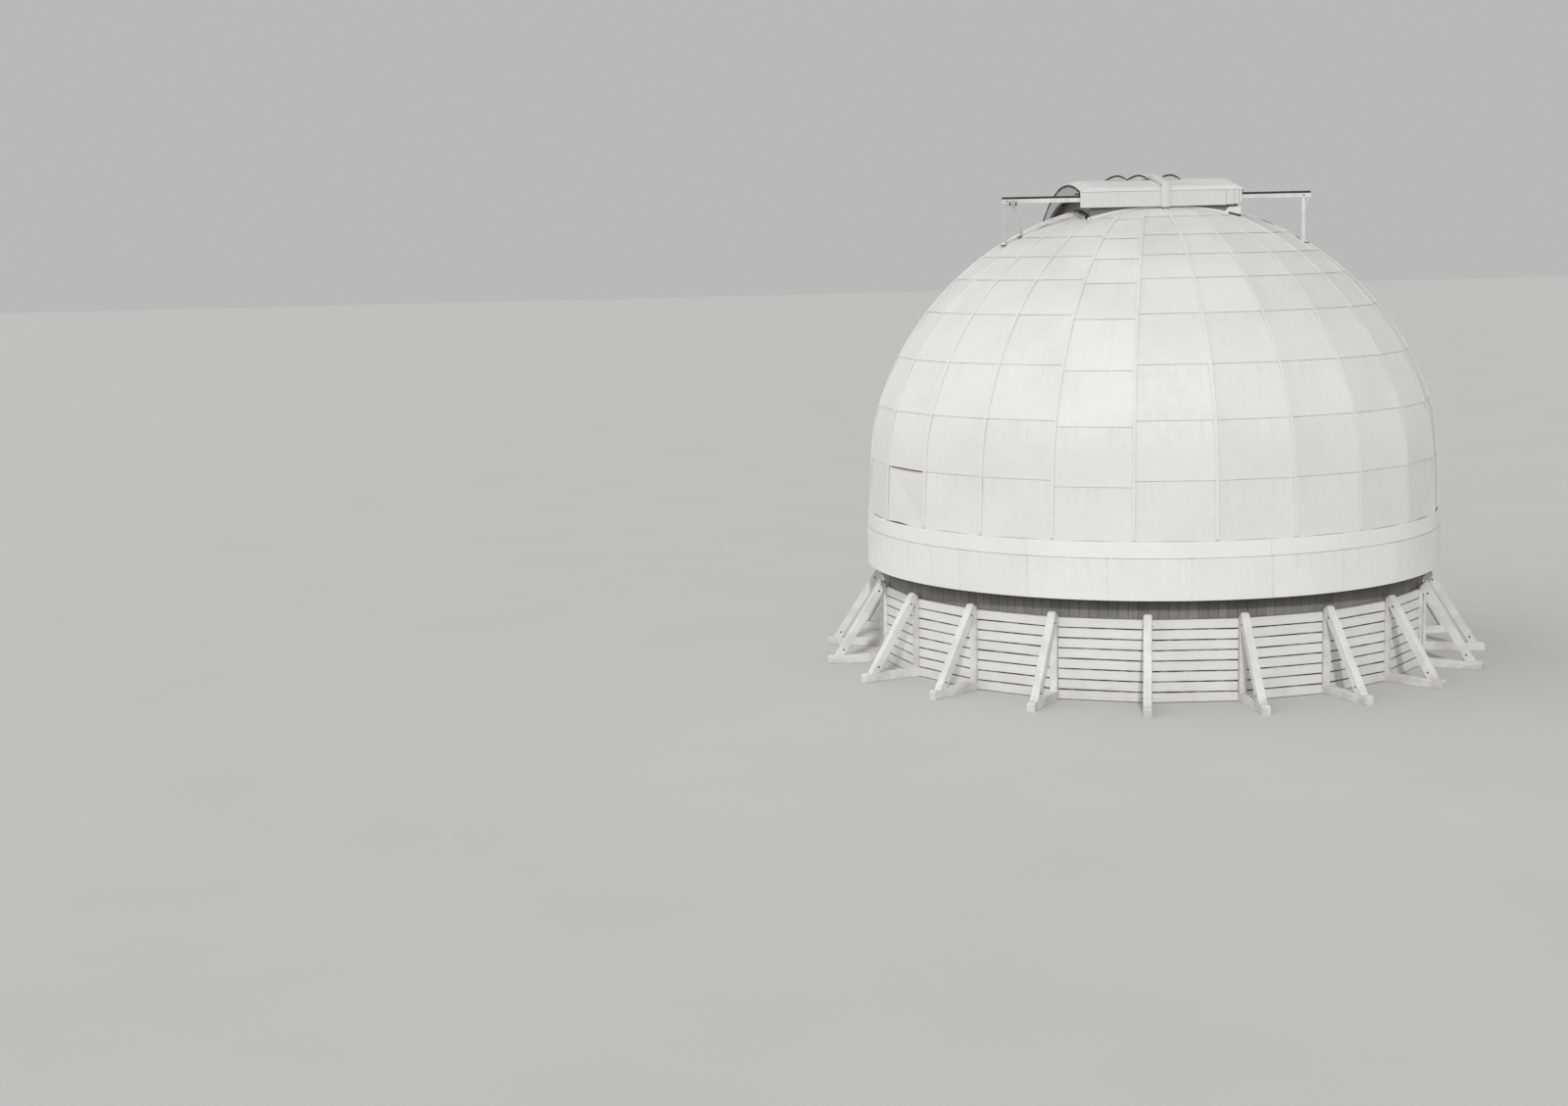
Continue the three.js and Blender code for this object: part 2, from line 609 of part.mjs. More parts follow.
// The strap is seated on the +X half and laps over the joint
function jointStrap() {
  const seat = ROOF_RADIUS + SEAT;
  const lifted = ROOF_RADIUS + STRAP_CLEARANCE;
  const top = ROOF_RADIUS + STRAP_HEIGHT;
  const section = [[-STRAP_HALF_WIDTH, lifted], [1, lifted], [1, seat], [STRAP_HALF_WIDTH, seat],
    [STRAP_HALF_WIDTH, top], [-STRAP_HALF_WIDTH, top]];
  const front = FASCIA_Y - STRAP_DEPTH;
  const over = hoop(section).intersect(block(-FAR, FAR, front, FAR, SPHERE_HEIGHT, FAR));
  const tail = prism(outline(section), ROOF_FOOT, SPHERE_HEIGHT + 1, X, Y);
  const height = SPHERE_HEIGHT + Math.sqrt(top ** 2 - front ** 2) - 2;
  const lappedLeg = block(-STRAP_HALF_WIDTH, 2, front, FASCIA_Y - STRAP_CLEARANCE, STRAP_FOOT, height);
  const seatedLeg = block(1, STRAP_HALF_WIDTH, front, FASCIA_Y - SEAT, STRAP_FOOT, height);
  return join([over, tail, lappedLeg, seatedLeg]);
}

// A loose strip that lies on the roof's near edge and bows up from it in waves
function flashing(x0, x1, waves) {
  const steps = FLASHING_WAVE_STEPS * waves;
  const upper = [];
  const lower = [];
  const roofFace = ROOF_RADIUS * Math.cos(Math.PI / ARCH_SIDES) + SEAT;
  for (let i = 0; i <= steps; i += 1) {
    const x = x0 + ((x1 - x0) * i) / steps;
    const wave = Math.abs(Math.sin((Math.PI * waves * i) / steps));
    const rise = FLASHING_RISE * wave ** FLASHING_FULLNESS;
    lower.push([x, roofFace + rise]);
    upper.push([x, roofFace + rise + FLASHING_THICKNESS]);
  }
  const tilt = radians(FLASHING_TILT);
  const normal = new THREE.Vector3(0, -Math.sin(tilt), Math.cos(tilt));
  const strip = outline([...lower, ...upper.reverse()]);
  const from = (FLASHING_NEAR_Y + ROOF_RADIUS * Math.sin(tilt)) / Math.cos(tilt);
  return prism(strip, -from - FLASHING_WIDTH, -from, X, normal, SPHERE_HEIGHT);
}

// The whole object

["wall_front", "wall_right", "wall_back", "wall_left"].forEach((name, i) => {
  place(name, wallQuadrant(FIRST_CORNER + QUADRANT_BAYS * i), "boards");
});
for (let i = 0; i < WALL_SIDES; i += 1) {
  const name = `buttress_${String(i + 1).padStart(2, "0")}`;
  place(name, buttress(WALL_TURN + WALL_BAY * i), "timber");
}
place("ring_beam", ringBeam(), "dark_timber");
place("roller_ring", rollerRing(), "steel");

place("base_ring", baseRing(), "dark_timber");
place("upstand", upstand(), "dark_timber");
place("skirt", skirt(), "sheet");
place("band", band(), "sheet");
const domeShell = shell();
PANEL_NAMES.forEach((name, i) => {
  place(`panel_${name}`, domeShell.intersect(panelWedge(i)), "sheet");
});
place("arch_left", arch(-1), "timber");
place("arch_right", arch(1), "timber");
place("slit_head", slitHead(), "timber");
place("slit_sill", slitSill(), "timber");
place("near_beam", nearBeam(), "timber");
place("near_rail", railBar(NEAR_RAIL_START, NEAR_RAIL_END, NEAR_RAIL_Y, NEAR_RAIL_TOP), "steel");
place("far_beam", farBeam(), "timber");
place("far_rail", railBar(-FAR_RAIL_END, FAR_RAIL_END, FAR_RAIL_Y, FAR_RAIL_TOP), "steel");

const halfPieces = {
  roof: [roof, "sheet"],
  cheek: [cheek, "sheet"],
  fascia: [fascia, "sheet"],
  near_truck: [nearTruck, "steel"],
  far_truck: [farTruck, "steel"],
};
for (const [piece, [make, material]] of Object.entries(halfPieces)) {
  place(`shutter_right_${piece}`, make(RIGHT_HALF), material);
  place(`shutter_left_${piece}`, mirrored(make(LEFT_HALF)), material);
}
place("joint_strap", jointStrap(), "sheet");
const flashingStart = STRAP_HALF_WIDTH + FLASHING_STRAP_AIR;
place("flashing_left", flashing(FLASHING_LEFT_END, -flashingStart, 2), "flashing");
place("flashing_right", flashing(flashingStart, FLASHING_RIGHT_END, 1), "flashing");

export default object;
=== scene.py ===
"""Looks for the observatory dome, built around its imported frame, in metres with +Z up.

The frame's solids keep their places. Sheets, boards, timbers, rails and fixings are worked out here
as grids of points, and each finish is a tree of shader nodes. Azimuth 0 points to -Y and grows towards +X.
"""

import math

import bpy
import numpy as np
from mathutils import Euler, Matrix, Vector


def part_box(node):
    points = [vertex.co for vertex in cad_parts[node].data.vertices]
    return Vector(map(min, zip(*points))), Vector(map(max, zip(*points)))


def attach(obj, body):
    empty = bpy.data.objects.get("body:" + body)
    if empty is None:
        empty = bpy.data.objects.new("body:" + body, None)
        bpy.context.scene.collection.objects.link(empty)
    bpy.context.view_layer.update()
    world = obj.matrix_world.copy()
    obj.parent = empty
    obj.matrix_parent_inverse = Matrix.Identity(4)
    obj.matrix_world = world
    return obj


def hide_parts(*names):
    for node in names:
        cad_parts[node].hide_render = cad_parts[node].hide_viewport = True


bl_info = {
    "name": "Observatory Dome",
    "version": (1, 0, 0),
    "blender": (4, 5, 0),
    "location": "3D View > Sidebar > Dome",
    "description": "Dresses the frame of an observatory dome with sheets, boards, timbers and paint",
    "category": "Object",
}

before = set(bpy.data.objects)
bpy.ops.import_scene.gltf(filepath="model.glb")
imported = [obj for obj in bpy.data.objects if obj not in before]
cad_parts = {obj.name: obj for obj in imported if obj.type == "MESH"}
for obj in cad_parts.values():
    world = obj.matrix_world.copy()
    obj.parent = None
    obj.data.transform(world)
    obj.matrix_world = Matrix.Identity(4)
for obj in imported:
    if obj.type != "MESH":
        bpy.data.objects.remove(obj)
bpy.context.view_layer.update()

SKIRT_LOW, SKIRT_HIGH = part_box("skirt")
BAND_LOW, BAND_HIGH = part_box("band")
RING_LOW, RING_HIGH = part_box("ring_beam")
ARCH_LOW, ARCH_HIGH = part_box("arch_right")
HEAD_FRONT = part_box("slit_head")[0].y
SILL_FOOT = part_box("slit_sill")[0].z
RAILS = {"near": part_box("near_rail"), "far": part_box("far_rail")}
ROOF_LOW, ROOF_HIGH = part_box("shutter_right_roof")
STRAP_LOW, STRAP_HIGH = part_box("joint_strap")
WALL_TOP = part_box("wall_front")[1].z
PANELS = ("front_right", "right_front", "right_back", "back_right",
          "back_left", "left_back", "left_front", "front_left")
WALLS = ("front", "right", "back", "left")
SIDE_NAMES = {1: "right", -1: "left"}
WALL_BAYS = 5
FIRST_CORNER = -3
SEAT = 0.0003

RIGHT, BACK, UP = np.eye(3)
FRONT = -BACK
MIRROR = np.array([-1.0, 1.0, 1.0])


def half_box(side, piece):
    """The box of a shutter half's node, turned over to the +X side."""
    low, high = (Vector(corner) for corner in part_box(f"shutter_{SIDE_NAMES[side]}_{piece}"))
    if side < 0:
        low.x, high.x = -high.x, -low.x
    return low, high


# Directions and points

def outward(azimuth):
    """Level unit vectors away from the turning axis."""
    angle = np.radians(azimuth)
    return points(np.sin(angle), -np.cos(angle), 0.0)


def around(azimuth):
    """Level unit vectors along the ring, towards growing azimuth."""
    angle = np.radians(azimuth)
    return points(np.cos(angle), np.sin(angle), 0.0)


def unit(vectors):
    return vectors / np.linalg.norm(vectors, axis=-1, keepdims=True)


def points(x, y, z):
    """Points from their coordinates, which are numbers or grids that broadcast."""
    return np.stack(np.broadcast_arrays(x, y, z), -1)


def pairs(values):
    return zip(values[:-1], values[1:])


# Faces of the basic grids

def tube_faces(stations, corners, closed=False):
    """Squares between the stations of a section carried along a path, and a cap at each open end."""
    station = np.arange(stations if closed else stations - 1)[:, None]
    corner = np.arange(corners)[None]
    following, turned = (station + 1) % stations, (corner + 1) % corners
    squares = np.stack([station * corners + corner, station * corners + turned,
                        following * corners + turned, following * corners + corner], -1)
    faces = [squares.reshape(-1, 4)]
    if not closed:
        cap = np.arange(corners)
        faces.append(np.stack([cap[::-1], cap + (stations - 1) * corners]))
    return faces


def plate_faces(rows, columns):
    """An outer and an inner grid of squares, joined round the rim."""
    number = np.arange(rows * columns).reshape(rows, columns)
    outer = np.stack([number[:-1, :-1], number[:-1, 1:], number[1:, 1:], number[1:, :-1]], -1)
    outer = outer.reshape(-1, 4)
    rim = np.concatenate([number[0, :-1], number[:-1, -1], number[-1, :0:-1], number[:0:-1, 0]])
    following = np.roll(rim, -1)
    inside = rows * columns
    return [outer, outer[:, ::-1] + inside, np.stack([rim, rim + inside, following + inside, following], -1)]


# The chamfered section of bars: eight corners, each with its side, and whether the chamfer cuts it there.
SIDE_SIGN = np.array([1, 1, 1, 1, -1, -1, -1, -1])
SIDE_CUT = np.array([1, 0, 0, 1, 1, 0, 0, 1])
FACE_SIGN = np.array([-1, -1, 1, 1, 1, 1, -1, -1])
FACE_CUT = np.array([0, 1, 1, 0, 0, 1, 1, 0])


def chamfered(width, depth, bevel):
    """The section as [across, out]."""
    u = SIDE_SIGN * (width / 2 - bevel * SIDE_CUT)
    v = FACE_SIGN * (depth / 2 - bevel * FACE_CUT)
    return np.stack([u, v], -1)


def bar_grid(start, end, face, width, depth, bevel):
    """The chamfered section, with its width across and its depth along the face direction, is carried from
    start to end, and is drawn in at both ends. Also gives each corner's place on its bar."""
    start, end, face = np.broadcast_arrays(*(np.atleast_2d(np.asarray(v, float)) for v in (start, end, face)))
    length = np.linalg.norm(end - start, axis=-1)[:, None, None]
    along = unit(end - start)
    side = unit(np.cross(face, along))
    face = np.cross(along, side)
    zeros = np.zeros((len(start), 4, 8))
    inset = np.array([0.7, 0.0, 0.0, 0.7])[:, None] * bevel
    t = np.concatenate([0 * length, 0 * length + bevel, length - bevel, length], 1) + zeros
    u = SIDE_SIGN * (width / 2 - bevel * SIDE_CUT - inset) + zeros
    v = FACE_SIGN * (depth / 2 - bevel * FACE_CUT - inset) + zeros
    local = np.stack([t, u, v], -1)
    axes = [array[:, None, None] for array in (along, side, face)]
    return start[:, None, None] + sum(axis * local[..., i:i + 1] for i, axis in enumerate(axes)), local


def carry(path, side, face, section):
    """Carries a flat section along a path: the path's point + side times u + face times v, at every
    station."""
    side, face = np.broadcast_to(side, path.shape), np.broadcast_to(face, path.shape)
    return path[:, None] + side[:, None] * section[:, :1] + face[:, None] * section[:, 1:]


def along_path(path, section):
    """Each corner's place on a carried section: the way along the path, then the section's own two sides."""
    steps = np.linalg.norm(np.diff(path, axis=0), axis=-1)
    way = np.concatenate([[0.0], np.cumsum(steps)])
    return points(way[:, None], section[:, 0], section[:, 1])


class Parts:
    """Closed surfaces gathered into one mesh. Each corner keeps its place on its own part (local), a random
    tone for its part and its distance from the part's nearest side (edge). Each part has one finish."""

    def __init__(self, seed):
        self.random = np.random.default_rng(seed)
        self.points, self.faces, self.finishes = [], [], []
        self.local, self.tone, self.edge = [], [], []
        self.total = 0

    def add(self, corners, faces, local=None, edge=1.0, finish=0):
        """Adds copies of one form: corners is (copies, number, 3), and faces holds arrays of corner
        numbers."""
        copies, number = corners.shape[:2]
        first = self.total + number * np.arange(copies)
        for array in faces:
            self.faces.append((array[None] + first[:, None, None]).reshape(-1, array.shape[1]))
            self.finishes.append(np.full(copies * len(array), finish))
        self.points.append(corners.reshape(-1, 3))
        self.local.append((corners if local is None else local).reshape(-1, 3))
        self.tone.append(np.repeat(self.random.random(copies), number))
        self.edge.append(np.broadcast_to(edge, (copies, number)).reshape(-1))
        self.total += copies * number

    def sweep(self, grid, local=None, closed=False, **kept):
        """Skins sections carried along a path: grid is (stations, corners, 3), or copies of that."""
        grid = grid[None] if grid.ndim == 3 else grid
        copies, stations, corners = grid.shape[:3]
        if local is not None:
            local = np.broadcast_to(local, grid.shape)
        self.add(grid.reshape(copies, -1, 3), tube_faces(stations, corners, closed), local, **kept)

    def carried(self, path, side, face, section, plain=False, **kept):
        """Skins a flat section carried along a path. A plain one has no dark lap line (painted shadow with
        some dirt) from a lap above.
        """
        local = along_path(path, section)
        if plain:
            local[..., 2] = 1.0
        self.sweep(carry(path, side, face, section), local, **kept)

    def plate(self, outer, inner, local=None, edge=1.0, side=1, **kept):
        """Skins sheets: outer and inner are (rows, columns, 3), or copies of that, seen from outside with
        rows upwards. With side -1 they are mirrored in X, and the columns are turned round."""
        if outer.ndim == 3:
            outer, inner = outer[None], inner[None]
        local = outer if local is None else np.broadcast_to(local, outer.shape)
        edge = np.broadcast_to(edge, outer.shape[:3])
        if side < 0:
            outer, inner = ((grid * MIRROR)[..., ::-1, :] for grid in (outer, inner))
            local, edge = local[..., ::-1, :], edge[..., ::-1]
        copies, rows, columns = outer.shape[:3]
        corners, local, edge = (np.stack(two, 1) for two in ((outer, inner), (local, local), (edge, edge)))
        self.add(corners.reshape(copies, -1, 3), plate_faces(rows, columns), local,
                 edge.reshape(copies, -1), **kept)

    def studs(self, centre, normal, radius, height, plain=False, **kept):
        """Low six-sided heads of nails and bolts: a ring on the surface, carried out along the normal and
        drawn in. Plain ones have no dark lap line (painted shadow with some dirt) from a lap above."""
        normal = unit(np.broadcast_to(np.asarray(normal, float), centre.shape))
        helper = np.where(np.abs(normal[:, 2:]) > 0.9, RIGHT, UP)
        across = unit(np.cross(helper, normal))
        over = np.cross(normal, across)
        angle = np.arange(6) * np.pi / 3
        rise = np.array([-0.002, height * 0.6, height])[:, None]
        spread = radius * np.array([1.0, 0.92, 0.5])[:, None]
        place = points(spread * np.cos(angle), spread * np.sin(angle), rise)
        axes = [array[:, None, None] for array in (across, over, normal)]
        grid = centre[:, None, None] + sum(axis * place[..., i:i + 1] for i, axis in enumerate(axes))
        self.sweep(grid, np.ones(grid.shape) if plain else None, **kept)

    def bars(self, start, end, face, width, depth, bevel, **kept):
        """Straight bars from start to end. See bar_grid."""
        grid, local = bar_grid(start, end, face, width, depth, bevel)
        self.sweep(grid, local, **kept)

    def beams(self, start_x, end_x, y, z, width, depth, bevel, **kept):
        """Level bars along X."""
        self.bars(points(start_x, y, z), points(end_x, y, z), UP, width, depth, bevel, **kept)

    def make(self, name, body, slot, finishes, stands_for=(), smooth=30.0):
        """Puts the gathered parts into a mesh and makes the piece ride on its body."""
        mesh = bpy.data.meshes.new(name)
        corners = np.concatenate([array.ravel() for array in self.faces]).astype(np.int32)
        widths = np.concatenate([np.full(len(array), array.shape[1]) for array in self.faces])
        starts = np.concatenate([[0], np.cumsum(widths)[:-1]]).astype(np.int32)
        mesh.vertices.add(self.total)
        mesh.vertices.foreach_set("co", np.concatenate(self.points).astype(np.float32).ravel())
        mesh.loops.add(len(corners))
        mesh.loops.foreach_set("vertex_index", corners)
        mesh.polygons.add(len(starts))
        mesh.polygons.foreach_set("loop_start", starts)
        mesh.polygons.foreach_set("material_index", np.concatenate(self.finishes).astype(np.int32))
        mesh.update(calc_edges=True)
        for key, kind, field, values in (("local", "FLOAT_VECTOR", "vector", self.local),
                                         ("tone", "FLOAT", "value", self.tone),
                                         ("edge", "FLOAT", "value", self.edge)):
            layer = mesh.attributes.new(key, kind, "POINT")
            layer.data.foreach_set(field, np.concatenate(values).astype(np.float32).ravel())
        if mesh.validate():
            raise RuntimeError(f"{name} has faces that Blender had to mend")
        mesh.polygons.foreach_set("use_smooth", np.ones(len(starts), bool))
        mesh.set_sharp_from_angle(angle=math.radians(smooth))
        for finish in finishes:
            mesh.materials.append(material(finish))
        piece = bpy.data.objects.new(name, mesh)
        bpy.context.scene.collection.objects.link(piece)
        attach(piece, body)
        if stands_for:
            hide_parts(*stands_for)


def make_half(parts, side, name, slot, finishes, node):
    """Makes a piece that rides on a shutter half and stands for that half's node."""
    half = SIDE_NAMES[side]
    parts.make(f"{name}_{half}", f"{half}_shutter", slot, finishes, (node.format(half),))


# Sizes and colours that a user would change

def metres(name, description, default):
    return bpy.props.FloatProperty(name=name, description=description, default=default, min=0.0,
                                   unit="LENGTH", subtype="DISTANCE")


def degrees(name, description, default):
    return bpy.props.FloatProperty(name=name, description=description, default=math.radians(default),
                                   unit="ROTATION", subtype="ANGLE")


def amount(name, description, default, low=0.0):
    return bpy.props.FloatProperty(name=name, description=description, default=default, min=low)


def whole(name, description, default):
    return bpy.props.IntProperty(name=name, description=description, default=default, min=8)


def colour(name, description, default):
    return bpy.props.FloatVectorProperty(name=name, description=description, default=default, size=3,
                                         min=0.0, max=1.0, subtype="COLOR")


class DrumSizes(bpy.types.PropertyGroup):
    """The twenty-sided wall and its braces."""
    corner_radius: metres("Corner Radius", "From the turning axis to a corner of the wall", 4.36)
    turn: degrees("Turn", "Azimuth of the first corner", 5.5)
    bays: whole("Bays", "Sides of the drum", 20)
    course: metres("Course", "Height of one lapped board that shows", 0.1537)
    lap: metres("Lap", "Height of a board that the next one covers", 0.02)
    butt: metres("Butt", "Thickness of a board's lower edge", 0.0165)
    post_width: metres("Post Width", "Width of the post over each corner", 0.11)
    post_depth: metres("Post Depth", "Depth of the post over each corner", 0.06)
    post_top: metres("Post Top", "Height of the post", 1.21)
    brace_width: metres("Brace Width", "Width of the raking brace and its sill", 0.124)
    brace_head: metres("Brace Head", "Height of the brace's head on its centre line", 1.262)
    brace_reach: metres("Brace Reach", "From the post's face to the brace's foot", 0.76)
    sill_height: metres("Sill Height", "Height of the timber on the ground", 0.13)
    sill_reach: metres("Sill Reach", "From the post's face to the sill's end", 0.92)
    recess_board: metres("Recess Board", "Width of the upright boards under the skirt", 0.143)


class DomeSizes(bpy.types.PropertyGroup):
    """The turning shell."""
    gores: whole("Gores", "Flat strips round the shell", 24)
    turn: degrees("Turn", "Azimuth of the first rib", 0.0)
    radius: metres("Radius", "Radius of the rounded part at the ribs", 4.595)
    centre_height: metres("Centre Height", "Height of the rounded part's centre", 2.68)
    foot_radius: metres("Foot Radius", "Radius at the foot of the upright course", 4.545)
    upright_radius: metres("Upright Radius", "Radius at the top of the upright course", 4.505)
    upright_top: metres("Upright Top", "Height of the first seam above the band", 3.25)
    sheet: metres("Sheet", "Thickness of a sheet", 0.002)
    lap_rise: metres("Lap Rise", "How far a sheet's lower edge stands off the one below", 0.007)
    tuck: metres("Tuck", "How far a sheet runs up under the one above", 0.03)
    batten_width: metres("Batten Width", "Width of the batten over a rib", 0.046)
    batten_height: metres("Batten Height", "Height of the batten over a rib", 0.013)
    rib_width: metres("Rib Width", "Width of the timber rib inside", 0.06)
    rib_depth: metres("Rib Depth", "Depth of the timber rib inside", 0.12)


class ShutterSizes(bpy.types.PropertyGroup):
    """The two sliding halves."""
    left_bevel: metres("Left Bevel", "Width of the left roof's sloping edge", 0.15)
    right_bevel: metres("Right Bevel", "Width of the right roof's sloping edge", 0.09)
    bevel_drop: metres("Bevel Drop", "Drop of the sloping edge of the roof", 0.04)
    sheet_length: metres("Sheet Length", "Length of a roof sheet along the arc", 0.98)
    cheek_foot: metres("Cheek Foot", "Radius of a side's lower edge", 4.60)
    strap_width: metres("Strap Width", "Width of the strap over the joint", 0.12)
    strap_height: metres("Strap Height", "Height of the strap over the roof", 0.08)


class PaintColours(bpy.types.PropertyGroup):
    """Base colours of the finishes."""
    sheet: colour("Sheet", "White paint on sheet metal", (0.80, 0.80, 0.785))
    # The brighter white is painted light: it stands in for the extra light on the skirt and band.
    fresh: colour("Fresh", "Brighter white paint on the skirt and band", (0.86, 0.86, 0.845))
    board: colour("Board", "White paint on lapped boards", (0.80, 0.80, 0.785))
    timber: colour("Timber", "White paint on sawn timber", (0.80, 0.80, 0.785))
    aged: colour("Aged", "Dull paint on the shutter's near end and strap", (0.70, 0.70, 0.69))
    # Darker grey, partly painted shade: it stands in for the shade on the sides of the shutter halves.
    weathered: colour("Weathered", "Old paint on the sides of the shutter halves", (0.42, 0.42, 0.41))
    # Dark wood, partly painted shade: under the skirt, and on the arches and the slit's head under the
    # shutter.
    recess: colour("Recess", "Weathered wood under the skirt and round the slit", (0.21, 0.207, 0.20))
    tarred: colour("Tarred", "Tarred timber of the turning ring", (0.055, 0.052, 0.048))
    bare: colour("Bare", "Bare softwood of the ribs", (0.30, 0.235, 0.17))
    steel: colour("Steel", "Dark steel of rails and wheels", (0.10, 0.10, 0.105))
    tar: colour("Tar", "Tarred sheet of the flashing", (0.022, 0.022, 0.023))


class StageSizes(bpy.types.PropertyGroup):
    """Camera, light, floor and sky."""
    camera_place: bpy.props.FloatVectorProperty(name="Camera Place", description="Where the camera stands",
                                                default=(-7.68, -34.63, 6.70), unit="LENGTH", subtype="XYZ")
    lens: amount("Lens", "Focal length in millimetres", 49.5, 10.0)
    camera_tilt: degrees("Camera Tilt", "How far the camera looks down", 8.13)
    camera_heading: degrees("Camera Heading", "Turn of the camera about the upright axis", -2.83)
    camera_roll: degrees("Camera Roll", "Turn of the camera about its line of sight", 1.3)
    sun_azimuth: degrees("Sun Azimuth", "Where the light comes from, from -Y towards +X", -6.0)
    sun_elevation: degrees("Sun Elevation", "Height of the light", 35.0)
    sun_spread: degrees("Sun Spread", "Apparent size of the light", 4.0)
    sun_strength: amount("Sun Strength", "Strength of the light", 1.42)
    fill_azimuth: degrees("Fill Azimuth", "Where the soft second light comes from", -95.0)
    fill_elevation: degrees("Fill Elevation", "Height of the soft second light", 12.0)
    fill_spread: degrees("Fill Spread", "Apparent size of the soft second light", 110.0)
    fill_strength: amount("Fill Strength", "Strength of the soft second light", 1.2)
    sky_strength: amount("Sky Strength", "Strength of the light all round", 0.64)
    floor: colour("Floor", "Colour of the floor", (0.58, 0.58, 0.575))
    sky: colour("Sky", "Colour of the background", (0.76, 0.76, 0.76))


GROUPS = {"drum_sizes": DrumSizes, "dome_sizes": DomeSizes, "shutter_sizes": ShutterSizes,
          "paint_colours": PaintColours, "stage_sizes": StageSizes}


def sizes(group):
    return getattr(bpy.context.scene, group)


# Finishes

SOIL = (0.19, 0.175, 0.155, 1.0)


def with_alpha(rgb, factor=1.0):
    return (rgb[0] * factor, rgb[1] * factor, rgb[2] * factor, 1.0)


class Finish:
    """One material's tree of nodes. Each call adds a node and gives its output."""

    def __init__(self, name):
        self.material = bpy.data.materials.new(name)
        self.material.use_nodes = True
        self.tree = self.material.node_tree
        self.shader = self.tree.nodes["Principled BSDF"]

    def feed(self, socket, value):
        if isinstance(value, bpy.types.NodeSocket):
            self.tree.links.new(value, socket)
        else:
            socket.default_value = value

    def node(self, kind, inputs=(), output=0, **settings):
        node = self.tree.nodes.new(kind)
        for key, value in settings.items():
            setattr(node, key, value)
        for key, value in dict(inputs).items():
            self.feed(node.inputs[key], value)
        return node.outputs[output]

    def place(self):
        """Where a point is on the object."""
        return self.node("ShaderNodeTexCoord", output="Object")

    def normal(self):
        return self.node("ShaderNodeNewGeometry", output="Normal")

    def attribute(self, name, output="Fac"):
        return self.node("ShaderNodeAttribute", output=output, attribute_name=name)

    def part(self):
        """A point's three places on its part, the part's tone and a seed for its noises."""
        tone = self.attribute("tone")
        return (*self.parts_of(self.attribute("local", "Vector")), tone, self.times(tone, 40.0))

    def parts_of(self, vector):
        node = self.tree.nodes.new("ShaderNodeSeparateXYZ")
        self.feed(node.inputs[0], vector)
        return node.outputs[0], node.outputs[1], node.outputs[2]

    def vector(self, x, y, z):
        return self.node("ShaderNodeCombineXYZ", {0: x, 1: y, 2: z})

    def math(self, operation, first, second=0.0):
        return self.node("ShaderNodeMath", {0: first, 1: second}, operation=operation)

    def times(self, first, second):
        return self.math("MULTIPLY", first, second)

    def plus(self, first, *others):
        for other in others:
            first = self.math("ADD", first, other)
        return first

    def stretch(self, vector, scale):
        return self.node("ShaderNodeVectorMath", {0: vector, 1: scale}, operation="MULTIPLY")

    def noise(self, vector, scale=1.0, detail=3.0, roughness=0.5, seed=None):
        inputs = {"Vector": vector, "Scale": scale, "Detail": detail, "Roughness": roughness}
        if seed is None:
            return self.node("ShaderNodeTexNoise", inputs)
        inputs["W"] = seed
        return self.node("ShaderNodeTexNoise", inputs, noise_dimensions="4D")

    def ramp(self, value, low, high, start=0.0, end=1.0):
        """Goes smoothly from start at low to end at high, and stays there beyond."""
        return self.node("ShaderNodeMapRange", {"Value": value, "From Min": low, "From Max": high,
                                                "To Min": start, "To Max": end},
                         interpolation_type="SMOOTHSTEP")

    def blend(self, amount, first, second):
        node = self.tree.nodes.new("ShaderNodeMix")
        node.data_type = "RGBA"
        for key, value in ((0, amount), (6, first), (7, second)):
            self.feed(node.inputs[key], value)
        return node.outputs[2]

    def bump(self, height, distance, strength=1.0, normal=None):
        inputs = {"Height": height, "Distance": distance, "Strength": strength}
        if normal is not None:
            inputs["Normal"] = normal
        return self.node("ShaderNodeBump", inputs)

    def done(self, base, roughness, normal=None, metallic=0.0):
        self.feed(self.shader.inputs["Base Color"], base)
        self.feed(self.shader.inputs["Roughness"], roughness)
        self.feed(self.shader.inputs["Metallic"], metallic)
        if normal is not None:
            self.feed(self.shader.inputs["Normal"], normal)
        return self.material


def paint_colour(key, factor=1.0):
    return with_alpha(getattr(sizes("paint_colours"), key), factor)


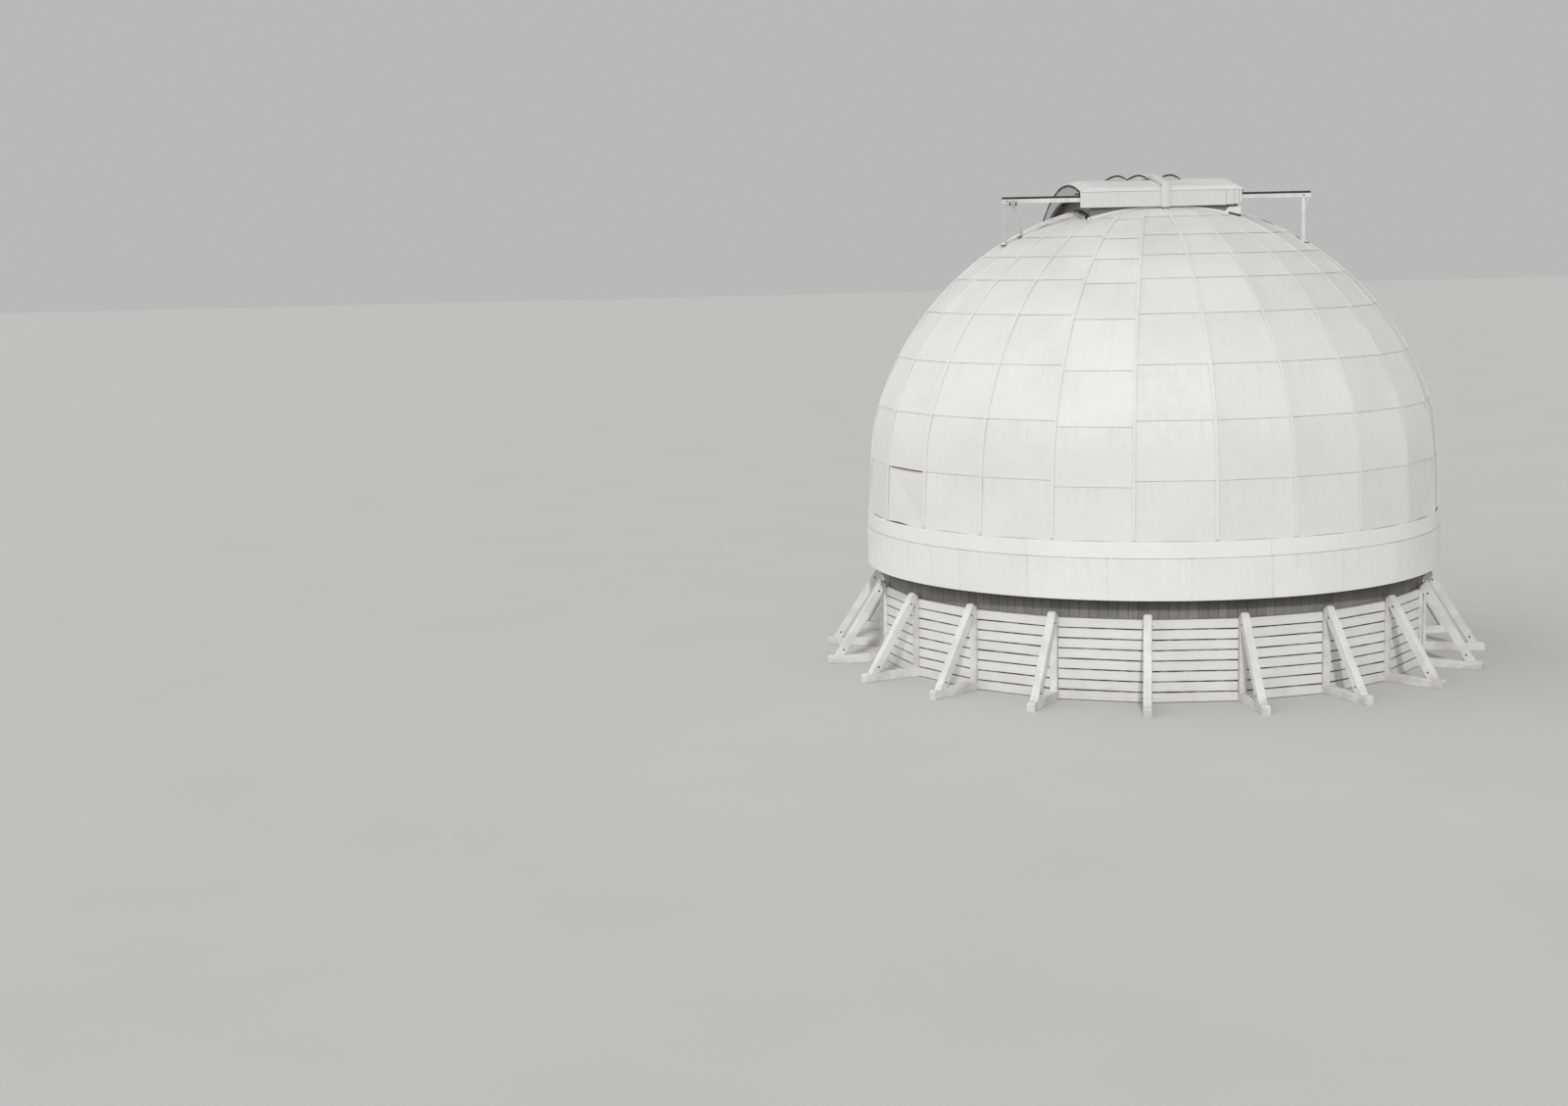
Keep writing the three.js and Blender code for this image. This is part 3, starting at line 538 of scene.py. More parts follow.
def sheet_paint(name, key="sheet"):
    """Paint on sheet metal: each sheet has its own tone, a soft cloud of chalking, faint rain streaks that
    run down from the lap above, a thin dark line under each lap and beside each batten that is painted
    shadow with some dirt, a darkening the more the surface faces up that is dust with painted shade on
    the tops, and a few rust pits."""
    f = Finish(name)
    place = f.place()
    x, up, below, tone, seed = f.part()
    cloud = f.noise(place, 0.9, 4.0)
    mottle = f.noise(place, 9.0, 4.0, 0.6)
    streak = f.noise(f.vector(f.times(x, 22.0), f.times(up, 0.9), seed), 1.0, 3.0)
    streak = f.times(f.ramp(streak, 0.48, 0.72), f.ramp(below, 0.0, 0.55, 1.0, 0.15))
    # Painted shadow with some dirt: a thin dark line just under the lower edge of the covering sheet, its
    # strength varying along it.
    lap_strength = f.ramp(f.noise(f.vector(f.times(x, 3.0), seed, 0.0), 1.0, 2.0), 0.30, 0.66, 0.35, 1.0)
    lap = f.times(f.ramp(below, 0.002, 0.014, 1.0, 0.0), lap_strength)
    # Painted shade with some dirt: darker within a few centimetres of each batten.
    side = f.times(f.ramp(f.attribute("edge"), 0.022, 0.046, 1.0, 0.0), f.ramp(mottle, 0.35, 0.65, 0.3, 1.0))
    # Dust with painted shade: darker the more the surface faces up, standing in for the dimmer light on the
    # tops.
    level = f.parts_of(f.normal())[2]
    dust = f.times(f.ramp(level, 0.35, 1.0), f.ramp(cloud, 0.3, 0.7, 0.8, 1.2))
    pits = f.ramp(f.noise(place, 46.0, 1.0, 0.5), 0.82, 0.85)
    # The sum holds real chalking, mottle, rain streaks and tone, and painted shade beside the battens and on
    # the faces that look up.
    darkening = f.plus(f.times(f.ramp(cloud, 0.35, 0.7), 0.05), f.times(f.ramp(mottle, 0.4, 0.75), 0.03),
                   f.times(streak, 0.07), f.times(side, 0.10), f.times(dust, 0.16),
                   f.ramp(tone, 0.0, 1.0, 0.05, 0.0))
    base = f.blend(darkening, paint_colour(key), (0.19, 0.186, 0.178, 1.0))
    base = f.blend(f.times(lap, 0.42), base, (0.10, 0.098, 0.092, 1.0))
    base = f.blend(f.times(pits, 0.6), base, (0.12, 0.10, 0.085, 1.0))
    rough = f.plus(f.ramp(mottle, 0.3, 0.7, 0.48, 0.62), f.times(darkening, 0.4))
    ripple = f.bump(f.noise(place, 2.6, 1.0), 0.012, 0.2)
    return f.done(base, rough, f.bump(f.noise(place, 150.0, 2.0), 0.0004, 0.5, ripple))


def board_paint(name):
    """White paint on lapped boards: grain that shows through along each board, hairline cracks, splashed soil
    on the lowest courses, and a near black line under each lap that is painted shadow with some dirt."""
    f = Finish(name)
    place = f.place()
    x, up, below, tone, seed = f.part()
    grain = f.noise(f.vector(f.times(x, 2.2), f.times(up, 70.0), seed), 1.0, 4.0, 0.6)
    cloud = f.noise(place, 2.3, 4.0)
    cracks = f.ramp(f.noise(f.vector(f.times(x, 5.0), f.times(up, 160.0), seed), 1.0, 2.0), 0.66, 0.74)
    splash = f.times(f.ramp(f.parts_of(place)[2], 0.05, 0.5, 1.0, 0.0), f.ramp(cloud, 0.3, 0.7, 0.35, 1.0))
    # Painted shadow with some dirt: a near black line just under the butt of the board above.
    lap_strength = f.ramp(f.noise(f.vector(f.times(x, 4.0), seed, 0.0), 1.0, 2.0), 0.3, 0.6, 0.65, 1.0)
    lap = f.times(f.ramp(below, 0.018, 0.030, 1.0, 0.0), lap_strength)
    darkening = f.plus(f.times(f.ramp(grain, 0.35, 0.7), 0.05), f.times(f.ramp(cloud, 0.35, 0.7), 0.06),
                   f.times(splash, 0.16), f.times(cracks, 0.2),
                   f.ramp(f.attribute("edge"), 0.0, 0.03, 0.15, 0.0),
                   f.ramp(tone, 0.0, 1.0, 0.05, 0.0))
    base = f.blend(darkening, paint_colour("board"), (0.20, 0.185, 0.165, 1.0))
    base = f.blend(lap, base, (0.030, 0.028, 0.025, 1.0))
    bump = f.bump(grain, 0.0016, 0.6)
    return f.done(base, f.ramp(grain, 0.3, 0.7, 0.62, 0.8), f.bump(cracks, -0.001, 0.6, bump))


def timber_paint(name):
    """White paint on sawn timber: grain along the piece, worn and darker edges of end grain, soil near the
    ground."""
    f = Finish(name)
    place = f.place()
    x, u, v, tone, seed = f.part()
    grain = f.noise(f.vector(f.times(x, 1.8), f.times(u, 55.0), f.times(v, 55.0)), 1.0, 4.0, 0.6, seed)
    cloud = f.noise(place, 3.1, 4.0, 0.55)
    checks = f.noise(f.vector(f.times(x, 3.5), f.times(u, 120.0), f.times(v, 120.0)), 1.0, 2.0, 0.5, seed)
    checks = f.ramp(checks, 0.67, 0.74)
    splash = f.times(f.ramp(f.parts_of(place)[2], 0.0, 0.35, 1.0, 0.0), f.ramp(cloud, 0.3, 0.65, 0.3, 1.0))
    wear = f.times(f.ramp(f.node("ShaderNodeNewGeometry", output="Pointiness"), 0.52, 0.60),
                   f.ramp(cloud, 0.4, 0.6))
    darkening = f.plus(f.times(f.ramp(grain, 0.35, 0.7), 0.07), f.times(f.ramp(cloud, 0.35, 0.7), 0.07),
                   f.times(splash, 0.16), f.times(checks, 0.25), f.ramp(tone, 0.0, 1.0, 0.05, 0.0),
                   f.times(wear, 0.12))
    base = f.blend(darkening, paint_colour("timber"), SOIL)
    bump = f.bump(grain, 0.002, 0.6)
    return f.done(base, f.ramp(grain, 0.3, 0.7, 0.62, 0.82), f.bump(checks, -0.0015, 0.6, bump))


def solid_paint(name, key):
    """Paint on a plain solid of the frame: clouds and fine grain in the object's own space."""
    f = Finish(name)
    place = f.place()
    cloud = f.noise(place, 1.7, 5.0, 0.55)
    grain = f.noise(f.stretch(place, (9.0, 9.0, 40.0)), 1.0, 4.0, 0.6)
    darkening = f.plus(f.times(f.ramp(cloud, 0.35, 0.7), 0.16), f.times(f.ramp(grain, 0.35, 0.7), 0.10),
                   f.ramp(f.parts_of(place)[2], 0.0, 0.5, 0.25, 0.0))
    base = f.blend(darkening, paint_colour(key), SOIL)
    return f.done(base, f.ramp(grain, 0.3, 0.7, 0.6, 0.8), f.bump(grain, 0.0015, 0.5))


def grain_wood(name, key, contrast, rough, painted_top_shade=0.0):
    """Bare wood: long grain in two tones, with a tone of its own for each piece, and painted shade towards
    its upper end."""
    f = Finish(name)
    x, u, v, tone, seed = f.part()
    grain = f.noise(f.vector(f.times(x, 1.6), f.times(u, 60.0), f.times(v, 60.0)), 1.0, 5.0, 0.65, seed)
    blotch = f.noise(f.place(), 2.4, 4.0, 0.6)
    shade = f.plus(f.times(f.ramp(grain, 0.3, 0.7), 0.5), f.times(f.ramp(blotch, 0.3, 0.7), 0.3),
                   f.times(tone, 0.35))
    base = f.blend(f.math("MINIMUM", shade, 1.0), paint_colour(key, 1.0 - contrast),
                   paint_colour(key, 1.0 + contrast))
    # Painted shade: near black towards the upper end, for the shade under the skirt.
    base = f.blend(f.ramp(x, 0.05, 0.34, 0.0, painted_top_shade), base, (0.02, 0.02, 0.019, 1.0))
    return f.done(base, f.ramp(grain, 0.3, 0.7, rough - 0.08, rough + 0.08), f.bump(grain, 0.002, 0.7))


def frame_wood(name, key):
    """Wood of a plain solid of the frame, with its grain in the object's own space."""
    f = Finish(name)
    place = f.place()
    grain = f.noise(f.stretch(place, (6.0, 6.0, 70.0)), 1.0, 5.0, 0.65)
    blotch = f.noise(place, 1.9, 4.0, 0.6)
    shade = f.plus(f.times(f.ramp(grain, 0.3, 0.7), 0.55), f.times(f.ramp(blotch, 0.3, 0.7), 0.45))
    base = f.blend(shade, paint_colour(key, 0.65), paint_colour(key, 1.35))
    return f.done(base, f.ramp(grain, 0.3, 0.7, 0.77, 0.93), f.bump(grain, 0.002, 0.6))


def dark_steel(name):
    """Dark oiled steel with rust bloom, and bright metal where the wheels have polished the top."""
    f = Finish(name)
    place = f.place()
    bloom = f.noise(place, 14.0, 5.0, 0.65)
    polish = f.times(f.ramp(f.parts_of(f.normal())[2], 0.85, 0.98), f.ramp(bloom, 0.2, 0.6, 0.7, 1.0))
    base = f.blend(f.ramp(bloom, 0.45, 0.72), paint_colour("steel"), (0.085, 0.055, 0.035, 1.0))
    base = f.blend(f.times(polish, 0.35), base, (0.30, 0.30, 0.30, 1.0))
    rough = f.math("SUBTRACT", f.ramp(bloom, 0.4, 0.7, 0.45, 0.75), f.times(polish, 0.15))
    return f.done(base, rough, f.bump(f.noise(place, 120.0, 2.0), 0.0008, 0.5), 0.65)


def tar_sheet(name):
    """Sheet strip coated with tar: near black, with brushed ridges and dusty patches."""
    f = Finish(name)
    place = f.place()
    dust = f.noise(place, 7.0, 5.0, 0.6)
    ridge = f.noise(f.stretch(place, (60.0, 8.0, 60.0)), 1.0, 3.0)
    base = f.blend(f.times(f.ramp(dust, 0.5, 0.8), 0.35), paint_colour("tar"), (0.16, 0.155, 0.15, 1.0))
    return f.done(base, f.ramp(dust, 0.35, 0.7, 0.5, 0.85), f.bump(ridge, 0.0015, 0.6))


MAKERS = {
    "sheet_paint": (sheet_paint,),
    "aged_sheet": (sheet_paint, "aged"),
    "fresh_sheet": (sheet_paint, "fresh"),
    "weathered_sheet": (sheet_paint, "weathered"),
    "board_paint": (board_paint,),
    "timber_paint": (timber_paint,),
    "wall_lining": (solid_paint, "board"),
    "curb_paint": (solid_paint, "timber"),
    # The recess boards get painted shade towards their tops, for the shade under the skirt.
    "recess_boards": (grain_wood, "recess", 0.32, 0.85, 0.7),
    "bare_rib": (grain_wood, "bare", 0.30, 0.75),
    "tarred_timber": (frame_wood, "tarred"),
    "dark_beam": (frame_wood, "recess"),
    "dark_steel": (dark_steel,),
    "tar_sheet": (tar_sheet,),
}


def material(name):
    """The finished material of that name, made when it is first asked for."""
    found = bpy.data.materials.get(name)
    if found is None:
        maker, *rest = MAKERS[name]
        found = maker(name, *rest)
    return found


# Stage

FLOOR_HALF = 260.0


def add_object(name, data):
    """Links an object of the stage to the scene."""
    thing = bpy.data.objects.new(name, data)
    bpy.context.scene.collection.objects.link(thing)
    return thing


def add_light(name, azimuth, elevation, spread, strength):
    """A light from far away, out of the given direction."""
    light = bpy.data.lights.new(name, "SUN")
    light.energy = strength
    light.angle = spread
    to_light = Vector(outward(math.degrees(azimuth)) * math.cos(elevation) + UP * math.sin(elevation))
    add_object(name, light).rotation_euler = to_light.to_track_quat("Z", "Y").to_euler()


def build_stage():
    """A plain level floor, a light with a soft second one, an even sky and the camera."""
    s = sizes("stage_sizes")
    mesh = bpy.data.meshes.new("floor")
    corner = FLOOR_HALF * np.array([[-1, -1, 0], [1, -1, 0], [1, 1, 0], [-1, 1, 0]])
    mesh.from_pydata(corner.tolist(), [], [(0, 1, 2, 3)])
    f = Finish("floor")
    cloud = f.noise(f.place(), 0.35, 4.0)
    mesh.materials.append(f.done(f.blend(cloud, with_alpha(s.floor, 0.97), with_alpha(s.floor, 1.03)), 0.9))
    floor = add_object("floor", mesh)

    add_light("sun", s.sun_azimuth, s.sun_elevation, s.sun_spread, s.sun_strength)
    add_light("fill", s.fill_azimuth, s.fill_elevation, s.fill_spread, s.fill_strength)

    world = bpy.data.worlds.new("sky")
    world.use_nodes = True
    background = world.node_tree.nodes["Background"]
    background.inputs["Color"].default_value = with_alpha(s.sky)
    background.inputs["Strength"].default_value = s.sky_strength
    bpy.context.scene.world = world

    lens = bpy.data.cameras.new("camera")
    lens.lens = s.lens
    lens.clip_end = 1000.0
    camera = add_object("camera", lens)
    turn = Euler((math.pi / 2 - s.camera_tilt, 0.0, s.camera_heading)).to_matrix()
    turn = turn @ Matrix.Rotation(-s.camera_roll, 3, "Z")
    camera.matrix_world = Matrix.LocRotScale(Vector(s.camera_place), turn.to_quaternion(), None)
    bpy.context.scene.camera = camera
    bpy.context.scene.view_settings.view_transform = "Standard"


# Drum

BOARD_FOOT = 0.013
BOARD_STANDS_OFF = 0.0135
BOARD_TOP_OUT = 0.0105
CORNER_CLEAR = 0.058
BRACE_NOSE = 0.055
TIMBER_BEVEL = 0.007
SILL_CUT = 0.03


def bay_azimuths(s, first, bays):
    """Azimuths of wall corners, counted from the turned first corner."""
    return math.degrees(s.turn) + 360.0 / s.bays * (first + np.arange(bays))


def build_wall_boards(index):
    """Lapped boards on five bays: each is a wedge in section, thick at its lower edge, that leans out over
    the one below. A board's face bows a little along its length."""
    s = sizes("drum_sizes")
    parts = Parts(40 + index)
    half_bay = math.radians(180.0 / s.bays)
    apothem = s.corner_radius * math.cos(half_bay)
    half = s.corner_radius * math.sin(half_bay) - CORNER_CLEAR
    middle = bay_azimuths(s, FIRST_CORNER + WALL_BAYS * index + 0.5, WALL_BAYS)
    courses = round((WALL_TOP - BOARD_FOOT) / s.course)
    columns, rows = 9, 4
    shape = (WALL_BAYS, courses, rows, columns)
    board = np.full(courses, s.course + s.lap)
    board[-1] = WALL_TOP - BOARD_FOOT - s.course * (courses - 1) - 0.001
    up = np.linspace(0, 1, rows)[:, None] * board[:, None, None] + np.zeros(shape)
    along = np.linspace(-half, half, columns) + np.zeros(shape)
    bow, droop = (parts.random.normal(0, size, (WALL_BAYS, courses, 1, 1)) for size in (0.0016, 0.0012))
    bow = bow * np.cos(np.linspace(-np.pi / 2, np.pi / 2, columns))
    feet = BOARD_FOOT + s.course * np.arange(courses)[:, None]
    foot = feet[..., None] + droop * np.linspace(-1, 1, columns)
    slope = up / (s.course + s.lap)
    front = BOARD_STANDS_OFF + s.butt
    inner = BOARD_STANDS_OFF - (BOARD_STANDS_OFF - 0.002) * slope + bow
    outer = front - (front - BOARD_TOP_OUT) * slope + bow
    out, level = outward(middle)[:, None, None], around(middle)[:, None, None]

    def surface(off):
        return (out[:, None] * (apothem + off)[..., None] + level[:, None] * along[..., None]
                + UP * (foot + up)[..., None]).reshape(-1, rows, columns, 3)

    # The third local value places the near black line of painted shadow with some dirt under the board above.
    local = points(along, up, s.course - up).reshape(-1, rows, columns, 3)
    edge = (half - np.abs(along)).reshape(-1, rows, columns)
    parts.plate(surface(outer), surface(inner), local, edge)
    nail_x = (half - 0.03) * np.array([-1.0, 1.0])[:, None]
    nails = out * (apothem + front - 0.0028) + level * nail_x + UP * (feet + 0.028)[..., None]
    normals = np.broadcast_to(out, nails.shape).reshape(-1, 3)
    parts.studs(nails.reshape(-1, 3), normals, 0.005, 0.0016, edge=0.0)
    parts.make("boards_" + WALLS[index], "drum", "boards", ["board_paint"])


def build_buttress(index):
    """A post over a wall corner, a timber on the ground that runs out from it, and a brace from that timber's
    end up to the post. The brace's foot is cut level, and its head is rounded off."""
    s = sizes("drum_sizes")
    parts = Parts(100 + index)
    azimuth = bay_azimuths(s, index, 1)[0]
    out, level = outward(azimuth), around(azimuth)
    back = s.corner_radius + SEAT
    face = back + s.post_depth
    post = out * (back + s.post_depth / 2)
    parts.bars(post, post + UP * s.post_top, out, s.post_width, s.post_depth, 0.005)

    sill_end = face + s.sill_reach
    stations = np.array([back + 0.002, back + 0.008, sill_end - SILL_CUT, sill_end])
    section = chamfered(s.brace_width, s.sill_height, TIMBER_BEVEL)
    centre = out * stations[:, None] + UP * s.sill_height / 2
    grid = carry(centre, level, UP, section)
    grid[-1, section[:, 1] > 0, 2] -= SILL_CUT
    parts.sweep(grid, along_path(centre, section))

    foot = out * (face + s.brace_reach) + UP * (s.sill_height - 0.04)
    head = out * (face + 0.01) + UP * s.brace_head
    along = unit(head - foot)
    length = np.linalg.norm(head - foot)
    lean = np.cross(along, unit(np.cross(out, along)))
    side = np.cross(lean, along)
    section = chamfered(s.brace_width, s.brace_width, TIMBER_BEVEL)
    rounding = np.radians([0, 20, 40, 60, 78])
    ways = np.concatenate([[0.06, 0.12, length - 0.4], length + BRACE_NOSE * np.sin(rounding)])
    scale = np.concatenate([np.ones(3), np.cos(rounding)])[:, None, None]
    centre = foot + along * ways[:, None]
    grid = centre[:, None] + side * section[:, :1] * scale + lean * section[:, 1:] * scale
    grid[0] += along * ((s.sill_height + SEAT - grid[0, :, 2]) / along[2])[:, None]
    parts.sweep(grid, along_path(centre, section))

    for way in (0.16, length - 0.13):
        for sign in (-1, 1):
            bolt = foot + along * way + side * sign * s.brace_width / 2
            parts.studs(bolt[None], (side * sign)[None], 0.016, 0.009, finish=1)
    parts.make(f"bracing_{index + 1:02d}", "drum", "timber", ["timber_paint", "dark_steel"],
               (f"buttress_{index + 1:02d}",))


def build_recess_boards():
    """Upright boards side by side round the ring beam, under the skirt."""
    width, thickness = sizes("drum_sizes").recess_board, 0.018
    parts = Parts(7)
    boards = round(2 * math.pi * RING_HIGH.x / width)
    azimuth = 360.0 / boards * np.arange(boards)
    heave = parts.random.normal(0, 0.0008, boards)[:, None]
    centre = outward(azimuth) * (RING_HIGH.x + thickness / 2 + heave)
    parts.bars(centre + UP * (RING_LOW.z + 0.004), centre + UP * (RING_HIGH.z - 0.004), outward(azimuth),
               width - 0.004, thickness, 0.0025)
    parts.make("recess_boards", "drum", "dark_timber", ["recess_boards"])


# Skirt and band

FIRST_JOINT = -35.0
SKIRT_SHEETS = 24
SKIRT_THICKNESS = 0.020
BEAD_RADIUS = 0.007
BAND_BOARDS = 8
BAND_DEPTH = 0.0437
BAND_SPLAY = 0.012
BAND_GAP = 0.02
BAND_NAILS = 96


def ring_joints(pieces):
    """The azimuth at which each of the pieces round a ring starts, and the step from one to the next."""
    step = 360.0 / pieces
    return (FIRST_JOINT + step * np.arange(pieces))[:, None, None], step


def build_skirt():
    """Lapped sheets round the turning ring: a cylinder whose radius steps out at each lap and waves a little,
    with a rolled bead along its lower edge."""
    parts = Parts(11)
    start, step = ring_joints(SKIRT_SHEETS)
    foot, top, radius = SKIRT_LOW.z, SKIRT_HIGH.z, SKIRT_HIGH.x
    u = np.linspace(0, 1, 13)
    v = np.linspace(0, 1, 6)[:, None]
    azimuth = start + (step + 0.5) * u + 0 * v
    phase = parts.random.uniform(0, 2 * np.pi, start.shape)
    wave = 0.0008 * (1 + np.sin(3 * np.pi * u + phase)) * (1 - v) ** 1.5
    lap = 0.0015 * (1 - u)
    height = foot + 0.004 + (top - foot - 0.004) * v
    out = outward(azimuth)
    outer = out * (radius - lap - wave)[..., None] + UP * height[..., None]
    inner = out * (radius - SKIRT_THICKNESS - lap)[..., None] + UP * height[..., None]
    along = np.radians(azimuth - start) * radius
    edge = np.minimum(along, np.radians(step) * radius - along) + 0.040
    # The third local value puts a faint lap line, painted shadow with some dirt, just under the band.
    parts.plate(outer, inner, points(along, height - foot, top - height + 0.008), edge)

    angle = np.arange(8) * np.pi / 4
    section = BEAD_RADIUS * np.stack([np.cos(angle), np.sin(angle)], -1)[::-1]
    ring = outward(np.arange(0, 360, 2.5))
    path = ring * (radius - BEAD_RADIUS - 0.0005) + UP * (foot + BEAD_RADIUS + 0.0005)
    parts.carried(path, ring, UP, section, plain=True, closed=True)
    parts.make("skirt_sheets", "dome", "sheet", ["fresh_sheet"], ("skirt",))


def build_band():
    """Boards bent round the dome's foot above the skirt: a splayed section with chamfered edges, butted end
    to end, and nailed in two rows."""
    parts = Parts(12)
    start, step = ring_joints(BAND_BOARDS)
    face_low, face_high = BAND_HIGH.x, BAND_HIGH.x - BAND_SPLAY
    section = np.array([[face_low - 0.009, BAND_LOW.z + SEAT], [face_low, BAND_LOW.z + 0.010],
                        [face_high + 0.001, BAND_HIGH.z - 0.010], [face_high - 0.008, BAND_HIGH.z]])
    radius, height = section[:, :1], section[:, 1:]
    azimuth = start + BAND_GAP + (step - 2 * BAND_GAP) * np.linspace(0, 1, 40)
    out = outward(azimuth)
    heave = parts.random.normal(0, 0.0006, start.shape)
    outer = out * (radius + heave)[..., None] + UP * height[..., None]
    inner = out * (face_low - BAND_DEPTH) + UP * height[..., None]
    along = np.radians(azimuth - start) * face_low
    edge = np.minimum(along, np.radians(step) * face_low - along) + 0.042
    parts.plate(outer, inner, points(along, height - BAND_LOW.z, 1.0), edge)
    for height, face in ((BAND_LOW.z + 0.05, face_low - 0.0024), (BAND_HIGH.z - 0.05, face_high + 0.0024)):
        nails = 360.0 / BAND_NAILS * np.arange(BAND_NAILS) + parts.random.normal(0, 0.15, BAND_NAILS)
        parts.studs(outward(nails) * face + UP * height, outward(nails), 0.006, 0.002, plain=True, edge=0.0)
    parts.make("band_boards", "dome", "sheet", ["fresh_sheet"], ("band",))


# Shell. The last seam is the crown's edge, under the shutter.

SEAM_ELEVATIONS = (18.0, 28.6, 39.3, 47.9, 54.7, 61.6, 70.0, 80.0)
TOP_ELEVATION = 86.0
SIDE_TRIM = ARCH_HIGH.x + 0.003
HEAD_TRIM = -HEAD_FRONT + 0.003
SHEET_WAVES = ((0.0035, 1, 1), (0.0016, 2, 1), (0.0014, 1, 3))
DENT_AZIMUTH = -67.5
LOW_GORE_AZIMUTH = -30.0
LOW_GORE_DROP = 0.09
SHORTEST_RIB = 0.2
INNER_FACE = 0.006
NAIL_SPACING = 0.17


class Profile:
    """The shell's outer line at a rib, as radius and height against the way along it: a straight upright
    course, a cubic that leaves it and meets the circle without a kink, then the circle to the crown."""

    def __init__(self):
        s = sizes("dome_sizes")
        self.centre, self.radius = s.centre_height, s.radius
        t = np.linspace(0, 1, 24)
        foot = BAND_HIGH.z + 0.0008
        straight = np.stack([s.foot_radius + (s.upright_radius - s.foot_radius) * t,
                             foot + (s.upright_top - foot) * t], -1)
        join = self.on_circle(SEAM_ELEVATIONS[0])
        span = join[1] - s.upright_top
        leave = (s.upright_radius - s.foot_radius) / (s.upright_top - foot) * span
        arrive = -math.tan(math.radians(SEAM_ELEVATIONS[0])) * span
        bend = ((2 * t ** 3 - 3 * t ** 2 + 1) * s.upright_radius + (t ** 3 - 2 * t ** 2 + t) * leave
                + (3 * t ** 2 - 2 * t ** 3) * join[0] + (t ** 3 - t ** 2) * arrive)
        curve = np.stack([bend, s.upright_top + span * t], -1)
        circle = np.stack(self.on_circle(np.linspace(SEAM_ELEVATIONS[0], TOP_ELEVATION, 200)), -1)
        self.line = np.concatenate([straight, curve[1:], circle[1:]])
        steps = np.linalg.norm(np.diff(self.line, axis=0), axis=-1)
        self.way = np.concatenate([[0.0], np.cumsum(steps)])
        self.slope = np.gradient(self.line, self.way, axis=0)
        heights = self.on_circle(np.array(SEAM_ELEVATIONS))[1]
        self.seams = np.concatenate([[0.0], self.at_height([s.upright_top, *heights])])

    def on_circle(self, elevation):
        """Radius and height on the rounded part, at an elevation in degrees."""
        angle = np.radians(elevation)
        return self.radius * np.cos(angle), self.centre + self.radius * np.sin(angle)

    def at_height(self, height):
        return np.interp(height, self.line[:, 1], self.way)

    def radius_at_height(self, height):
        return np.interp(height, self.line[:, 1], self.line[:, 0])

    def at(self, way):
        """Radius, height, and the outward normal's level and upright shares."""
        r, z, level, rise = (np.interp(way, self.way, column) for column in (*self.line.T, *self.slope.T))
        size = np.hypot(level, rise)
        return r, z, rise / size, -level / size


def gore_step():
    return 360.0 / sizes("dome_sizes").gores


def gore_azimuths():
    s = sizes("dome_sizes")
    return math.degrees(s.turn) + gore_step() * np.arange(s.gores)


def gore_chord(profile, way):
    """Width of a gore between its two ribs."""
    return 2 * profile.at(way)[0] * math.sin(math.radians(gore_step() / 2))


def signed(azimuth):
    """The same azimuth between -180 and 180 degrees."""
    return (azimuth + 180.0) % 360.0 - 180.0


def is_behind_slit(azimuth):
    return abs(signed(azimuth)) > 165.0


def skin(profile, azimuth, share, way, lift):
    """A point on a flat gore: P = A + (B - A) share, with A and B on its two ribs at the same way up the
    profile, moved out by lift along the gore's own normal."""
    r, z, level, rise = profile.at(way)
    start, middle, end = (outward(azimuth + part * gore_step()) for part in (0.0, 0.5, 1.0))
    share, lift = np.asarray(share)[..., None], np.asarray(lift)[..., None]
    flat = r[..., None] * (start + (end - start) * share) + z[..., None] * UP
    return flat + lift * (middle * level[..., None] + UP * rise[..., None])


def trim(azimuth):
    """Which side of the slit cuts a rib: a level direction, and how far out along it the shell ends."""
    place = signed(azimuth)
    if abs(place) < 45.0:
        return FRONT, HEAD_TRIM
    return RIGHT * math.copysign(1.0, place), SIDE_TRIM


def shares(profile, azimuth, way, gap=0.003):
    """The part of a gore, from 0 at its first rib to 1 at its second, that lies outside the slit, and the
    gore's width. Behind the slit it is the whole gore."""
    step, chord = gore_step(), gore_chord(profile, way)
    if is_behind_slit(azimuth + step / 2):
        return 0 * way, 0 * way + 1, chord
    direction, limit = trim(azimuth + step / 2)
    first, second = (profile.at(way)[0] * (outward(rib) @ direction) for rib in (azimuth, azimuth + step))
    cut = np.clip((limit - first) / (second - first), 0, 1)
    low = np.where(second > first, cut, 0.0)
    high = np.where(second > first, 1.0, cut)
    return np.maximum(low, gap / chord), np.minimum(high, 1 - gap / chord), chord


def spread_ways(low, high, bite, ways):
    """Ways up a sheet from low to high, with one of them where the slit first bites into it."""
    if not low + 0.02 < bite < high - 0.02:
        return np.linspace(low, high, ways)
    under = max(3, round(ways * (bite - low) / (high - low)))
    return np.concatenate([np.linspace(low, bite, under), np.linspace(bite, high, max(4, ways - under))[1:]])


